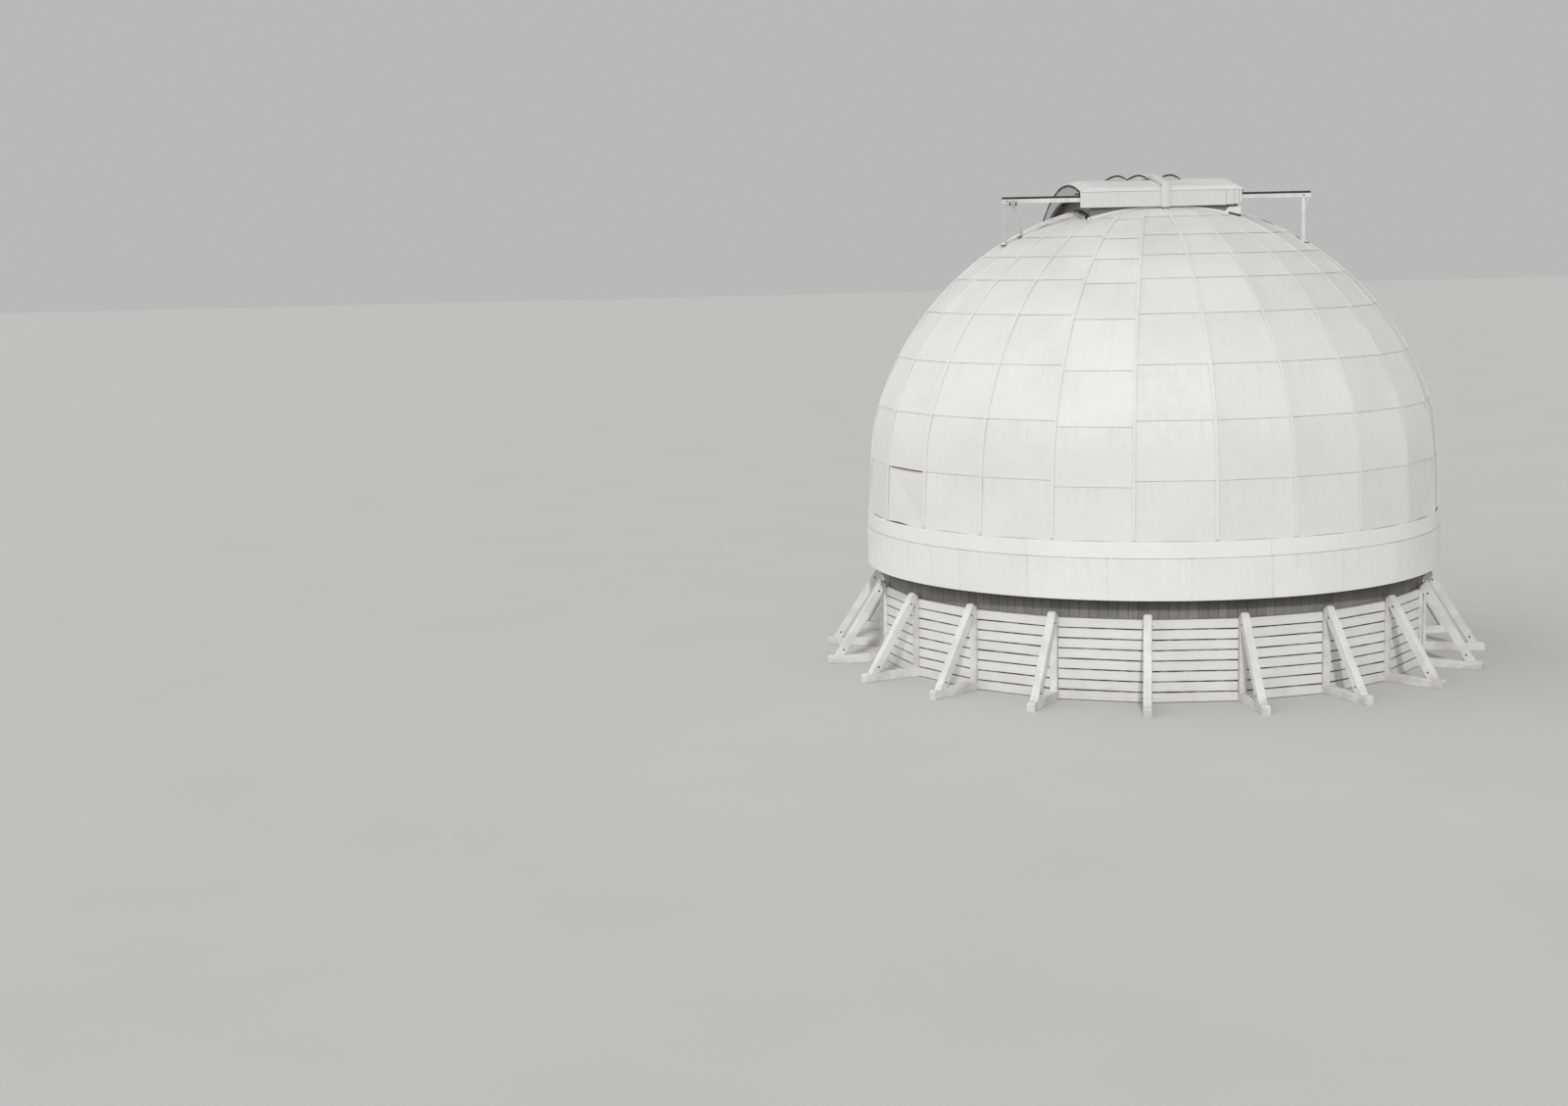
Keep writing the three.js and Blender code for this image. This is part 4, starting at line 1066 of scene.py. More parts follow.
def add_sheet(parts, profile, azimuth, row, drop):
    """One sheet between two ribs. Its lower edge stands off the sheet below and its top tucks under the next.
    Between its edges it bulges in or out, by sines across and up it."""
    s = sizes("dome_sizes")
    middle = azimuth + gore_step() / 2
    low, high = profile.seams[row] - (drop if row else 0.0), profile.seams[row + 1] - drop
    top = high + s.tuck
    if is_behind_slit(middle):
        if row:
            return
        top = min(top, profile.at_height(SILL_FOOT - 0.003))
    fine = np.linspace(low, top, 200)
    first, last, chord = shares(profile, azimuth, fine)
    width = (last - first) * chord
    wide, full = width > 0.004, width > chord - 0.0065
    if not wide[0] or fine[wide][-1] - low < 0.02:
        return
    top = fine[wide][-1]
    bite = fine[full][-1] if full.any() and not full.all() else top
    way = spread_ways(low, top, bite, 11 if row else 15)[:, None]
    first, last, chord = shares(profile, azimuth, way)
    share = first + (last - first) * np.linspace(0, 1, 11)
    v = (way - low) / (top - low)
    lift = s.lap_rise + (0.001 - s.lap_rise) * (way - low) / (high + s.tuck - low)
    bulge = sum(parts.random.normal(0, size) * np.sin(across * np.pi * share) * np.sin(up * np.pi * v)
                for size, across, up in SHEET_WAVES)
    moved = way + 0 * share
    if row == 0 and abs(signed(middle) - DENT_AZIMUTH) < gore_step() / 2:
        inward, slide = dented(share, v)
        bulge, moved = bulge - inward, moved + slide
    outer, inner = (skin(profile, azimuth, share, moved, lift + bulge + sheet) for sheet in (s.sheet, 0.0))
    # The third local value, the way below the seam above, places the lap line of painted shadow with some
    # dirt.
    local = points((share - 0.5) * chord, moved - low, high - moved)
    parts.plate(outer, inner, local, np.minimum(share, 1 - share) * chord)


def dented(share, v):
    """The battered sheet: a hollow that is deepest in its middle, a sharp diagonal crease, a top edge that
    has sagged out from under its lap and a lower edge that has sprung up. Gives the depth in and the slide
    up."""
    hollow = 0.026 * np.sin(np.pi * share) ** 0.8 * np.sin(np.pi * v) ** 0.7
    away = np.abs((v - 0.88) + (share - 0.1) * 0.95)
    crease = 0.013 * np.exp(-(away / 0.09) ** 2) * np.sin(np.pi * share)
    ripple = 0.004 * np.sin(5.5 * np.pi * share + 2.0 * v) * np.sin(np.pi * v)
    top = np.exp(-((1 - v) / 0.12) ** 2) * np.sin(np.pi * np.clip(share * 1.05, 0, 1)) ** 0.6
    foot = np.exp(-(v / 0.10) ** 2) * np.clip(np.sin(1.5 * np.pi * share + 0.4), -0.3, 1.0)
    return hollow + crease + ripple + 0.030 * top + 0.014 * foot, 0.016 * foot - 0.055 * top


def stop_way(profile, azimuth, extra):
    """How far up the profile a rib goes before it meets the slit."""
    if is_behind_slit(azimuth + 0.5) and is_behind_slit(azimuth - 0.5):
        return profile.at_height(SILL_FOOT - 0.004)
    direction, limit = trim(azimuth)
    way = np.linspace(0, profile.seams[-1], 2000)
    inside = profile.at(way)[0] * (outward(azimuth) @ direction) < limit + extra
    return way[np.argmax(inside)] if inside.any() else way[-1]


def add_rib(parts, profile, azimuth):
    """The timber rib inside, and outside it the battens over the joint of the sheets, in lengths of about two
    rows, each nailed in a zigzag."""
    s = sizes("dome_sizes")
    out, side = outward(azimuth), -around(azimuth)

    def raised(way, lift):
        """Points over the rib's line, and the outward normals there."""
        r, z, level, rise = (array[:, None] for array in profile.at(way))
        normal = out * level + UP * rise
        return out * r + UP * z + normal * lift, normal

    def ways(low, high, spacing):
        return np.linspace(low, high, max(3, int((high - low) / spacing) + 2))

    end = stop_way(profile, azimuth, 0.008)
    if end < SHORTEST_RIB:
        return
    path, normal = raised(ways(0.0, end, 0.16), -INNER_FACE - s.rib_depth / 2)
    parts.carried(path, side, normal, chamfered(s.rib_width, s.rib_depth, 0.003), finish=1)

    end = stop_way(profile, azimuth, 0.03)
    if end < SHORTEST_RIB:
        return
    joints = [0.022 + parts.random.uniform(-0.004, 0.006)]
    for seam in profile.seams[2::2]:
        if seam < end - 0.25:
            joints.append(seam + parts.random.uniform(-0.06, 0.06))
    joints.append(end)
    section = chamfered(s.batten_width, s.batten_height, 0.002)
    lift = s.batten_height / 2 + 0.0015 + s.lap_rise * 0.6
    for low, high in pairs(joints):
        path, normal = raised(ways(low + 0.0015, high - 0.0015, 0.13), lift)
        shift = parts.random.normal(0, 0.0018) + parts.random.normal(0, 0.0012, len(path))
        parts.carried(path + side * shift[:, None], side, normal, section, plain=True, edge=0.045)
        nails = np.arange(low + 0.05, high - 0.03, NAIL_SPACING)
        if len(nails):
            place, normal = raised(nails, lift + s.batten_height / 2)
            zigzag = 0.011 * (-1.0) ** np.arange(len(nails))
            parts.studs(place + side * zigzag[:, None], normal, 0.0055, 0.002, plain=True)


def add_purlins(parts, profile, azimuth):
    """Level timbers between two ribs behind each seam."""
    middle = azimuth + gore_step() / 2
    seams = profile.seams[1:-1]
    first, last, chord = shares(profile, azimuth, seams, 0.032)
    keep = (last - first) * chord > 0.08
    if is_behind_slit(middle) or not keep.any():
        return
    way, depth = seams[keep], 0.04
    start, end = (skin(profile, azimuth, share[keep], way, -INNER_FACE - depth / 2)
                  for share in (first, last))
    level, rise = profile.at(way)[2:]
    face = outward(middle) * level[:, None] + UP * rise[:, None]
    parts.bars(start, end, face, 0.05, depth, 0.003, finish=1)


def build_shell(index):
    """An eighth of the shell: sheets on three gores, the ribs and battens at their first sides, and
    purlins."""
    parts = Parts(200 + index)
    profile = Profile()
    per_panel = sizes("dome_sizes").gores // len(PANELS)
    for azimuth in gore_azimuths()[index * per_panel:(index + 1) * per_panel]:
        drop = LOW_GORE_DROP if abs(signed(azimuth) - LOW_GORE_AZIMUTH) < 4.0 else 0.0
        for row in range(len(profile.seams) - 1):
            add_sheet(parts, profile, azimuth, row, drop)
        add_rib(parts, profile, azimuth)
        add_purlins(parts, profile, azimuth)
    name = PANELS[index]
    parts.make(f"skin_{name}", "dome", "sheet", ["sheet_paint", "bare_rib"], (f"panel_{name}",))


# Slit

TRIM_FLANGE = 0.055
TRIM_EDGE = 0.045
TRIM_OVERHANG = 0.05
HEAD_RADIUS = 4.45
HEAD_STOP = 0.98
HEAD_STOP_TOP = 7.135


def rib_radius(x, y):
    """The radius of a rib at the height at which a flat gore, pushed in between its ribs, stands over a point
    of the plan."""
    half_step = gore_step() / 2
    azimuth = np.degrees(np.arctan2(x, -y)) - math.degrees(sizes("dome_sizes").turn)
    from_middle = azimuth % (2 * half_step) - half_step
    return np.hypot(x, y) * np.cos(np.radians(from_middle)) / math.cos(math.radians(half_step))


def shell_height(profile, x, y):
    """Height of the shell over a point of the plan."""
    return np.interp(-rib_radius(x, y), -profile.line[:, 0], profile.line[:, 1])


def shell_distance(profile, x, angle):
    """How far the shell is from the rounded part's centre line, in the plane at x, along a line turned by
    angle from upright towards +Y. It is found by halving the range that it lies in."""
    low, high = np.full(angle.shape, 3.6), np.full(angle.shape, 5.0)
    for _ in range(26):
        middle = (low + high) / 2
        height = profile.centre + middle * np.cos(angle)
        outside = rib_radius(x, middle * np.sin(angle)) > profile.radius_at_height(height)
        low, high = np.where(outside, low, middle), np.where(outside, middle, high)
    return (low + high) / 2


def away_from_centre(angle):
    """Directions away from the rounded part's centre line, turned by angle from upright towards +Y."""
    return points(0.0, np.sin(angle), np.cos(angle))


def build_slit_trim():
    """Tarred strips where the shell meets the curbs of the slit, whose near black stands in for the shade in
    the gap under the shutter (painted shade): one flange stands against the curb, the other lies on the
    sheets, and both follow the shell. At the near head the strip is painted. Its +X end stands higher, with
    a dark strip along its foot."""
    profile = Profile()
    parts = Parts(21)
    curb, rim = ARCH_HIGH.x + SEAT, SIDE_TRIM + TRIM_FLANGE
    joints = np.linspace(-math.asin(HEAD_TRIM / HEAD_RADIUS), math.pi / 2 + 0.008, 9)
    for low, high in pairs(joints):
        angle = np.linspace(low - 0.004, high + 0.004, 22)
        away = away_from_centre(angle)
        inner, outer = (shell_distance(profile, x, angle) for x in (SIDE_TRIM, rim))
        corners = [(curb, inner + 0.03), (curb + 0.002, inner + 0.03), (curb + 0.002, inner + 0.012),
                   (rim, outer + 0.011), (rim, outer + 0.002), (curb, inner + 0.002)]
        lines = [RIGHT * x + away * distance[:, None] for x, distance in corners]
        grid = UP * profile.centre + np.stack(lines, 1)
        local = along_path(away, np.ones((6, 2)))
        for run in (grid, (grid * MIRROR)[:, ::-1]):
            parts.sweep(run, local, edge=TRIM_EDGE)

    end = SIDE_TRIM + TRIM_OVERHANG
    x = np.linspace(-end, end, 40)
    back, front = HEAD_FRONT - SEAT, HEAD_FRONT - TRIM_FLANGE
    behind, before = (shell_height(profile, x, y) for y in (back, front))
    top = np.where(x > HEAD_STOP, HEAD_STOP_TOP, behind + 0.045)
    corners = [(back, behind + 0.002), (front, before + 0.002), (front, before + 0.011),
               (back - 0.004, behind + 0.012), (back - 0.004, top), (back, top)]
    grid = np.stack([points(x, y, height) for y, height in corners], 1)
    parts.sweep(grid, along_path(grid[:, 0], np.ones((6, 2))), edge=TRIM_EDGE, finish=1)
    stop_x = np.array([HEAD_STOP + 0.03, end])
    stop = points(stop_x, back - 0.006, shell_height(profile, stop_x, back) + 0.03)
    parts.bars(*stop, FRONT, 0.028, 0.006, 0.001)
    radius = profile.radius_at_height(SILL_FOOT) + 0.012
    sill = points([-ARCH_LOW.x, ARCH_LOW.x], radius, SILL_FOOT)
    parts.bars(*sill, BACK, 0.05, 0.012, 0.002, edge=TRIM_EDGE)
    parts.make("slit_trim", "dome", "flashing", ["tar_sheet", "sheet_paint"])


# Rails and the beams under them. A strut is its head's place along X, a point inside the shell that it aims
# at, and its width.

RAIL_SECTION = np.array([(-0.025, 0), (0.025, 0), (0.025, 0.006), (0.006, 0.011), (0.006, 0.022),
                         (0.014, 0.025), (0.014, 0.033), (0.011, 0.035), (-0.011, 0.035), (-0.014, 0.033),
                         (-0.014, 0.025), (-0.006, 0.022), (-0.006, 0.011), (-0.025, 0.006)])
BEAM_DEPTH = 0.065
BEAM_WIDTH = 0.06
NEAR_LEG_X = 2.200
NEAR_LEG_WIDTH = 0.064
NEAR_STRUTS = ((-2.455, (-2.329, -0.200, 6.561), 0.036), (-2.360, (-2.061, -0.298, 6.668), 0.040))
FAR_BRACKETS = (-2.33, -1.18, 0.0, 1.18, 2.33)


def rail_middle(end):
    low, high = RAILS[end]
    return (low.y + high.y) / 2


def build_rail(end):
    """A flat-bottomed rail carried along X, with clips over its foot and the bolts that hold them."""
    parts = Parts(31)
    low, high = RAILS[end]
    middle = rail_middle(end)
    parts.carried(points([low.x, high.x], middle, low.z), BACK, UP, RAIL_SECTION)
    x = np.linspace(low.x + 0.08, high.x - 0.08, 11)
    for y in (middle - 0.021, middle + 0.021):
        parts.beams(x - 0.02, x + 0.02, y, low.z + 0.010, 0.022, 0.008, 0.0015)
        parts.studs(points(x, y, low.z + 0.014), UP, 0.0075, 0.007)
    parts.make(f"{end}_rail_bar", "dome", "steel", ["dark_steel"], (f"{end}_rail",))


def add_beam(parts, end, low, high):
    """The long timber under a rail. Gives its middle in Y and the height of its lower face."""
    y, under = rail_middle(end), RAILS[end][0].z - SEAT - BEAM_DEPTH
    parts.beams(low.x, high.x, y, under + BEAM_DEPTH / 2, BEAM_WIDTH, BEAM_DEPTH, 0.004)
    return y, under


def add_foot(parts, foot):
    """A block on the shell under the end of a leg, over an iron plate."""
    x, y, z = foot
    parts.beams(x - 0.06, x + 0.06, y, z + 0.014, 0.10, 0.036, 0.005)
    parts.beams(x - 0.085, x + 0.085, y - 0.02, z, 0.13, 0.012, 0.002, finish=1)


def build_near_beam():
    """The timber under the near rail: at its right end an upright leg, at its left end two struts that rake
    back to the shell, with their feet and the irons at their heads."""
    profile = Profile()
    parts = Parts(32)
    y, under = add_beam(parts, "near", *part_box("near_beam"))
    front = y - BEAM_WIDTH / 2
    ground = points(NEAR_LEG_X, y, shell_height(profile, NEAR_LEG_X, y))
    parts.bars(ground - UP * 0.02, points(NEAR_LEG_X, y, under), FRONT, NEAR_LEG_WIDTH, 0.055, 0.004)
    add_foot(parts, ground)
    clip = points(NEAR_LEG_X + 0.05, y, under)
    parts.bars(clip - UP * 0.09, clip + UP * 0.05, FRONT, 0.02, BEAM_WIDTH + 0.006, 0.003)
    for head_x, inside, width in NEAR_STRUTS:
        head = points(head_x, y, under + 0.012)
        line = head + (np.array(inside) - head) * np.linspace(0, 1, 400)[:, None]
        foot = line[line[:, 2] > shell_height(profile, line[:, 0], line[:, 1])][-1]
        parts.bars(foot, head, FRONT, width, width, 0.003)
        add_foot(parts, foot)
        hook = points(head_x + 0.05, front - 0.003, under)
        parts.bars(hook - UP * 0.035, hook + UP * 0.03, FRONT, 0.024, 0.006, 0.002, finish=1)
    bolts = points([NEAR_LEG_X, *(strut[0] for strut in NEAR_STRUTS)], front, under + BEAM_DEPTH / 2)
    parts.studs(bolts, FRONT, 0.012, 0.007, finish=1)
    parts.make("near_beam_timbers", "dome", "timber", ["timber_paint", "dark_steel"], ("near_beam",))


def build_far_beam():
    """The timber under the far rail on five brackets, each with a strut down to the shell."""
    parts = Parts(33)
    y, under = add_beam(parts, "far", *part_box("far_beam"))
    middle, inner = under + BEAM_DEPTH / 2, y - BEAM_WIDTH / 2
    for x in FAR_BRACKETS:
        wall = math.sqrt(sizes("dome_sizes").upright_radius ** 2 - x ** 2) - 0.02
        arm = points(x, [wall, inner + 0.002], middle)
        parts.bars(*arm, UP, 0.06, BEAM_DEPTH - 0.002, 0.004)
        head = points(x, inner, under + 0.02)
        tail = points(x, wall - 0.04, under - 0.42)
        skirt = math.sqrt(SKIRT_HIGH.x ** 2 - x ** 2) - 0.004
        foot = head + (tail - head) * (head[1] - skirt) / (head[1] - tail[1])
        parts.bars(foot, head, RIGHT, 0.05, 0.055, 0.004)
        parts.studs(points([x], y + BEAM_WIDTH / 2, middle), BACK, 0.013, 0.008, finish=1)
    parts.make("far_beam_timbers", "dome", "timber", ["timber_paint", "dark_steel"], ("far_beam",))


# Shutter halves. Fascia joints and steps are by side: the joints in X, and how much shorter each board is.

RIB_CLEAR = 0.012
RIB_SPACING = 0.495
ROOF_LAP = 0.03
ROOF_FOLD = 0.044
ROOF_RIB_DEPTH = 0.013
CHEEK_THICKNESS = 0.0025
FASCIA_JOINTS = {1: (0.960, 1.080, 1.159), -1: ()}
FASCIA_STEPS = {1: (0.0, 0.006, 0.014, 0.030), -1: (0.0,)}
CAP_THICKNESS = 0.003
CAP_HEIGHT = 0.028
WHEEL_RADIUS = 0.038
WHEEL_PROFILE = np.array([(-0.025, 0.012), (-0.025, 0.046), (-0.018, 0.046), (-0.0155, WHEEL_RADIUS),
                          (0.0155, WHEEL_RADIUS), (0.018, 0.046), (0.025, 0.046), (0.025, 0.012)])
WHEEL_SIDES = 28
TRUCK_WHEELS = (0.25, 1.0)
TRUCK_DEPTH = 0.035
TRUCK_CLEAR = 0.010
NEAR_TRUCK_TOP = 7.452
NEAR_TAIL = 0.115
STRAP_FOOT = 7.15
FLASHING_TILT = 3.0
FLASHING_RISE = 0.082
FLASHING_WAVES = {1: 1, -1: 2}


def arc_angle(way, radius):
    """The turn from upright at a way along an arc that ends level with its centre."""
    return np.clip(way / radius, -np.pi / 2, np.pi / 2)


def arc_points(way, radius, distance, x):
    """Points at a way along an arc of the radius, and beyond its end straight down. Each is at its distance
    from the centre line and at its place in X."""
    angle = arc_angle(way, radius)
    straight = np.maximum(way - radius * np.pi / 2, 0)
    along = points(0.0, np.cos(angle), -np.sin(angle))
    return (points(x, 0.0, sizes("dome_sizes").centre_height) + along * straight[..., None]
            + away_from_centre(angle) * np.asarray(distance)[..., None])


def add_along_arc(parts, way, radius, distance, x, section, **kept):
    """Carries a flat section, given as [across, out], along an arc."""
    away = away_from_centre(arc_angle(way, radius))
    parts.carried(arc_points(way, radius, distance, x), -RIGHT, away, section, **kept)


def bevel_width(side):
    s = sizes("shutter_sizes")
    return s.right_bevel if side > 0 else s.left_bevel


def roof_radius():
    """The roof's outer radius, from its height at the crown."""
    return ROOF_HIGH.z - sizes("dome_sizes").centre_height


def roof_places(side):
    """Where in X a roof starts at the joint of the halves, where its sloping edge starts, and where it
    ends."""
    inner_x, outer_x = (corner.x for corner in half_box(side, "roof"))
    return inner_x, outer_x - bevel_width(side), outer_x


def roof_line(side, x):
    """Distance of the roof's outer face from the arc's centre line at each place in X."""
    slope = (x - roof_places(side)[1]) / bevel_width(side)
    return roof_radius() - sizes("shutter_sizes").bevel_drop * np.clip(slope, 0, 1)


def add_roof_sheets(parts, side, joints):
    """Sheets along the arc, each lapped over the one below, with a fold down at the outer side."""
    inner_x, flat, outer_x = roof_places(side)
    x = np.concatenate([np.linspace(inner_x, flat, 13), np.linspace(flat, outer_x, 4)[1:], [outer_x] * 2])
    line = roof_line(side, x)
    line[-2:] -= (0.007, 0.014)
    folded = np.arange(len(x)) >= len(x) - 3
    for low, high in pairs(joints):
        before_crown = low + high < 0
        start = low if before_crown else max(low - ROOF_LAP, joints[0])
        end = min(high + ROOF_LAP, joints[-1]) if before_crown else high
        way = np.linspace(start, end, 13)[:, None]
        v = (way - start) / (end - start)
        v = v if before_crown else 1 - v
        bulge = parts.random.normal(0, 0.0016) * np.sin(2 * np.pi * x / outer_x) * np.sin(np.pi * v)
        distance = line + 0.0065 * (1 - v) - 0.009 + bulge
        outer = arc_points(way, roof_radius(), distance, x)
        inner = arc_points(way, roof_radius(), distance - 0.002, x - 0.002 * folded)
        # The third local value places the lap line of painted shadow with some dirt where the next sheet laps
        # over.
        local = points(x, (1 - v) * (high - low), 0.9 * (1 - v) * (high - low))
        parts.plate(outer, inner, local, 0.3, side)


def add_roof_timbers(parts, side, start, end):
    """Cross ribs under the flat and the sloping part of a roof, and long stringers under them."""
    radius = roof_radius()
    inner_x, flat, outer_x = roof_places(side)
    ribs = np.arange(start + 0.06, end - 0.03, RIB_SPACING)
    face = away_from_centre(arc_angle(ribs, radius))
    for places in ((inner_x + 0.01, flat), (flat, outer_x - RIB_CLEAR)):
        ends = [arc_points(ribs, radius, roof_line(side, x) - 0.011 - ROOF_RIB_DEPTH / 2, side * x)
                for x in places]
        parts.bars(*ends, face, 0.05, ROOF_RIB_DEPTH - 0.001, 0.002, finish=1)
    way = np.concatenate([np.linspace(start + 0.01, radius * np.pi / 2, 60), [end - 0.01]])
    for x in (inner_x + 0.024, 0.62, flat - 0.03):
        add_along_arc(parts, way, radius, radius - 0.018, side * x, chamfered(0.04, 0.012, 0.002), finish=1)


def build_roof(side):
    """Sheets along the arc with a sloping edge, and the timbers under them. At the near end the sheet is
    folded down over the fascia."""
    parts = Parts(300 + side)
    radius, centre_height = roof_radius(), sizes("dome_sizes").centre_height
    near = math.asin(ROOF_LOW.y / radius)
    total = radius * (math.pi / 2 - near) + centre_height - ROOF_LOW.z
    sheets = round(total / sizes("shutter_sizes").sheet_length)
    joints = near * radius + np.linspace(0, total, sheets + 1)
    add_roof_sheets(parts, side, joints)
    add_roof_timbers(parts, side, joints[0], joints[-1])
    x = np.array(roof_places(side))
    top = centre_height + np.sqrt((roof_line(side, x) - 0.004) ** 2 - ROOF_LOW.y ** 2)
    rows = np.array([-ROOF_FOLD, -0.020, 0.0])[:, None]
    outer = points(x, ROOF_LOW.y + 0.0002, top + rows)
    parts.plate(outer, outer + BACK * 0.003, points(x, rows + ROOF_FOLD, 1.0), 0.3, side)
    make_half(parts, side, "roof_sheets", "sheet", ["sheet_paint", "bare_rib"], "shutter_{}_roof")


def build_cheek(side):
    """The closed side of a half: lapped sheets that follow the arc and drop to the foot, with a stiffening
    bar along the lower edge and a tarred strip along the top under the roof's fold, a dark line that is
    painted shadow under the roof's edge. On the near side of the crown the lower edge is cut level."""
    parts = Parts(320 + side)
    box_low, box_high = half_box(side, "cheek")
    face = box_high.x - 0.006
    top = box_high.y - 0.002
    foot_radius = sizes("shutter_sizes").cheek_foot
    radius = (top + foot_radius) / 2
    near = math.asin(box_low.y / radius)
    total = radius * (math.pi / 2 - near) + sizes("dome_sizes").centre_height - box_low.z
    joints = near * radius + np.linspace(0, total, 10)

    def foot(way):
        return foot_radius / np.cos(np.minimum(way / radius, 0))

    share = np.array([0.0, 0.33, 0.66, 1.0])[:, None]
    for low, high in pairs(joints):
        way = np.linspace(low, min(high + 0.02, joints[-1]), 12)
        v = (way - low) / (way[-1] - low)
        distance = foot(way) + (top - foot(way)) * share
        bow = parts.random.normal(0, 0.0015) * np.sin(np.pi * v)
        outer = arc_points(way, radius, distance, face - 0.003 + 0.0045 * v + bow)
        edge = np.minimum(distance - foot(way), top - distance) * 0.5 + 0.03
        parts.plate(outer, outer - RIGHT * CHEEK_THICKNESS, points(distance, way - low, 1.0), edge, side)

    way = np.concatenate([np.linspace(joints[0], radius * np.pi / 2, 60), [joints[-1]]])
    # The tarred strips (finish 2) are dark lines; the one along the top is painted shadow under the roof's
    # edge.
    for distance, width, depth, x, finish in (
            (foot(way) + 0.025, 0.028, 0.045, face - 0.020, 1), (top - 0.025, 0.028, 0.045, face - 0.020, 1),
            (foot(way) + 0.012, 0.004, 0.024, face + 0.002, 2), (top - 0.008, 0.006, 0.050, face + 0.002, 2)):
        section = chamfered(width, depth, width * 0.2)
        add_along_arc(parts, way, radius, distance, side * x, section, finish=finish)
    posts = np.arange(joints[0] + 0.06, joints[-1] - 0.03, RIB_SPACING)
    ends = [arc_points(posts, radius, distance, side * (face - 0.02))
            for distance in (foot(posts) + 0.04, top - 0.04)]
    parts.bars(*ends, RIGHT, 0.045, 0.026, 0.002, finish=1)
    # The sheets' darker grey is partly painted shade on the sides.
    make_half(parts, side, "cheek_sheets", "sheet", ["weathered_sheet", "bare_rib", "tar_sheet"],
              "shutter_{}_cheek")


def build_fascia(side):
    """Upright boards across the near end, nailed top and bottom, under a painted cap strip. The outer ones
    are cut a little shorter."""
    parts = Parts(340 + side)
    low, high = half_box(side, "fascia")
    y = (low.y + high.y + CAP_THICKNESS) / 2
    depth = high.y - low.y - 0.002 - CAP_THICKNESS
    cap = points(sorted((side * low.x, side * high.x)), low.y + CAP_THICKNESS / 2, high.z - CAP_HEIGHT / 2)
    grid, local = bar_grid(*cap, UP, CAP_THICKNESS, CAP_HEIGHT, 0.0005)
    parts.sweep(grid, local + UP, edge=0.06, finish=1)
    joints = [low.x, *FASCIA_JOINTS[side], high.x]
    for (start, end), step in zip(pairs(joints), FASCIA_STEPS[side]):
        shift = parts.random.uniform(0, 0.003)
        board = points(side * (start + end) / 2, y + shift / 2, [low.z + step, high.z])
        grid, local = bar_grid(*board, FRONT, end - start - 0.003, depth - shift, 0.003)
        # The third local value gives a dark line of painted shadow with some dirt just under the cap strip.
        local = points(local[..., 1], local[..., 0], high.z - CAP_HEIGHT - grid[..., 2])
        parts.sweep(grid, local, edge=0.06)
        nail_x = side * np.linspace(start + 0.03, end - 0.03, max(1, round((end - start) / 0.21)))
        for height in (low.z + 0.055, high.z - 0.055):
            nails = points(nail_x, low.y + 0.0012 + CAP_THICKNESS + shift, height)
            parts.studs(nails, FRONT, 0.006, 0.002, plain=True, edge=0.0)
    make_half(parts, side, "fascia_boards", "sheet", ["aged_sheet", "sheet_paint"], "shutter_{}_fascia")


def add_wheel(parts, centre, plate_y):
    """A double-flanged wheel turned about an axle along Y that reaches into the truck's plate."""
    axle = np.array([(-0.034, 0.007), (-0.031, 0.012), (plate_y - centre[1], 0.012)])
    for profile, sides in ((WHEEL_PROFILE, WHEEL_SIDES), (axle, WHEEL_SIDES // 2)):
        angle = np.arange(sides) * 2 * np.pi / sides
        ring = points(np.sin(angle), 0.0, np.cos(angle))
        parts.sweep(centre + BACK * profile[:, None, :1] + ring * profile[:, None, 1:])


def build_truck(side, end):
    """The iron that carries one end of a half: a long plate with a wheel at either end and bolts to the
    roof."""
    parts = Parts(360 + side)
    low, high = half_box(side, f"{end}_truck")
    front = high.y - TRUCK_DEPTH
    y = (front + high.y) / 2
    rail_top = RAILS[end][1].z
    foot = rail_top + TRUCK_CLEAR
    top, outer = (NEAR_TRUCK_TOP, high.x - NEAR_TAIL) if end == "near" else (high.z, high.x)
    middle = (foot + top) / 2
    parts.beams(side * low.x, side * outer, y, middle, 0.016, top - foot, 0.003)
    for height in (foot + 0.008, top - 0.008):
        parts.beams(side * low.x, side * outer, y, height, 0.034, 0.014, 0.002)
    if end == "near":
        parts.beams(side * 1.0, side * high.x, y, foot + 0.0125, 0.034, 0.024, 0.003)
    for x in TRUCK_WHEELS:
        add_wheel(parts, points(side * x, rail_middle(end), rail_top + SEAT + WHEEL_RADIUS), front + 0.012)
    bolts = np.linspace(low.x + 0.08, outer - 0.08, 6) * side
    parts.studs(points(bolts, front + 0.0095, middle), FRONT, 0.011, 0.008)
    make_half(parts, side, f"{end}_truck_iron", "steel", ["dark_steel"], "shutter_{}_" + f"{end}_truck")


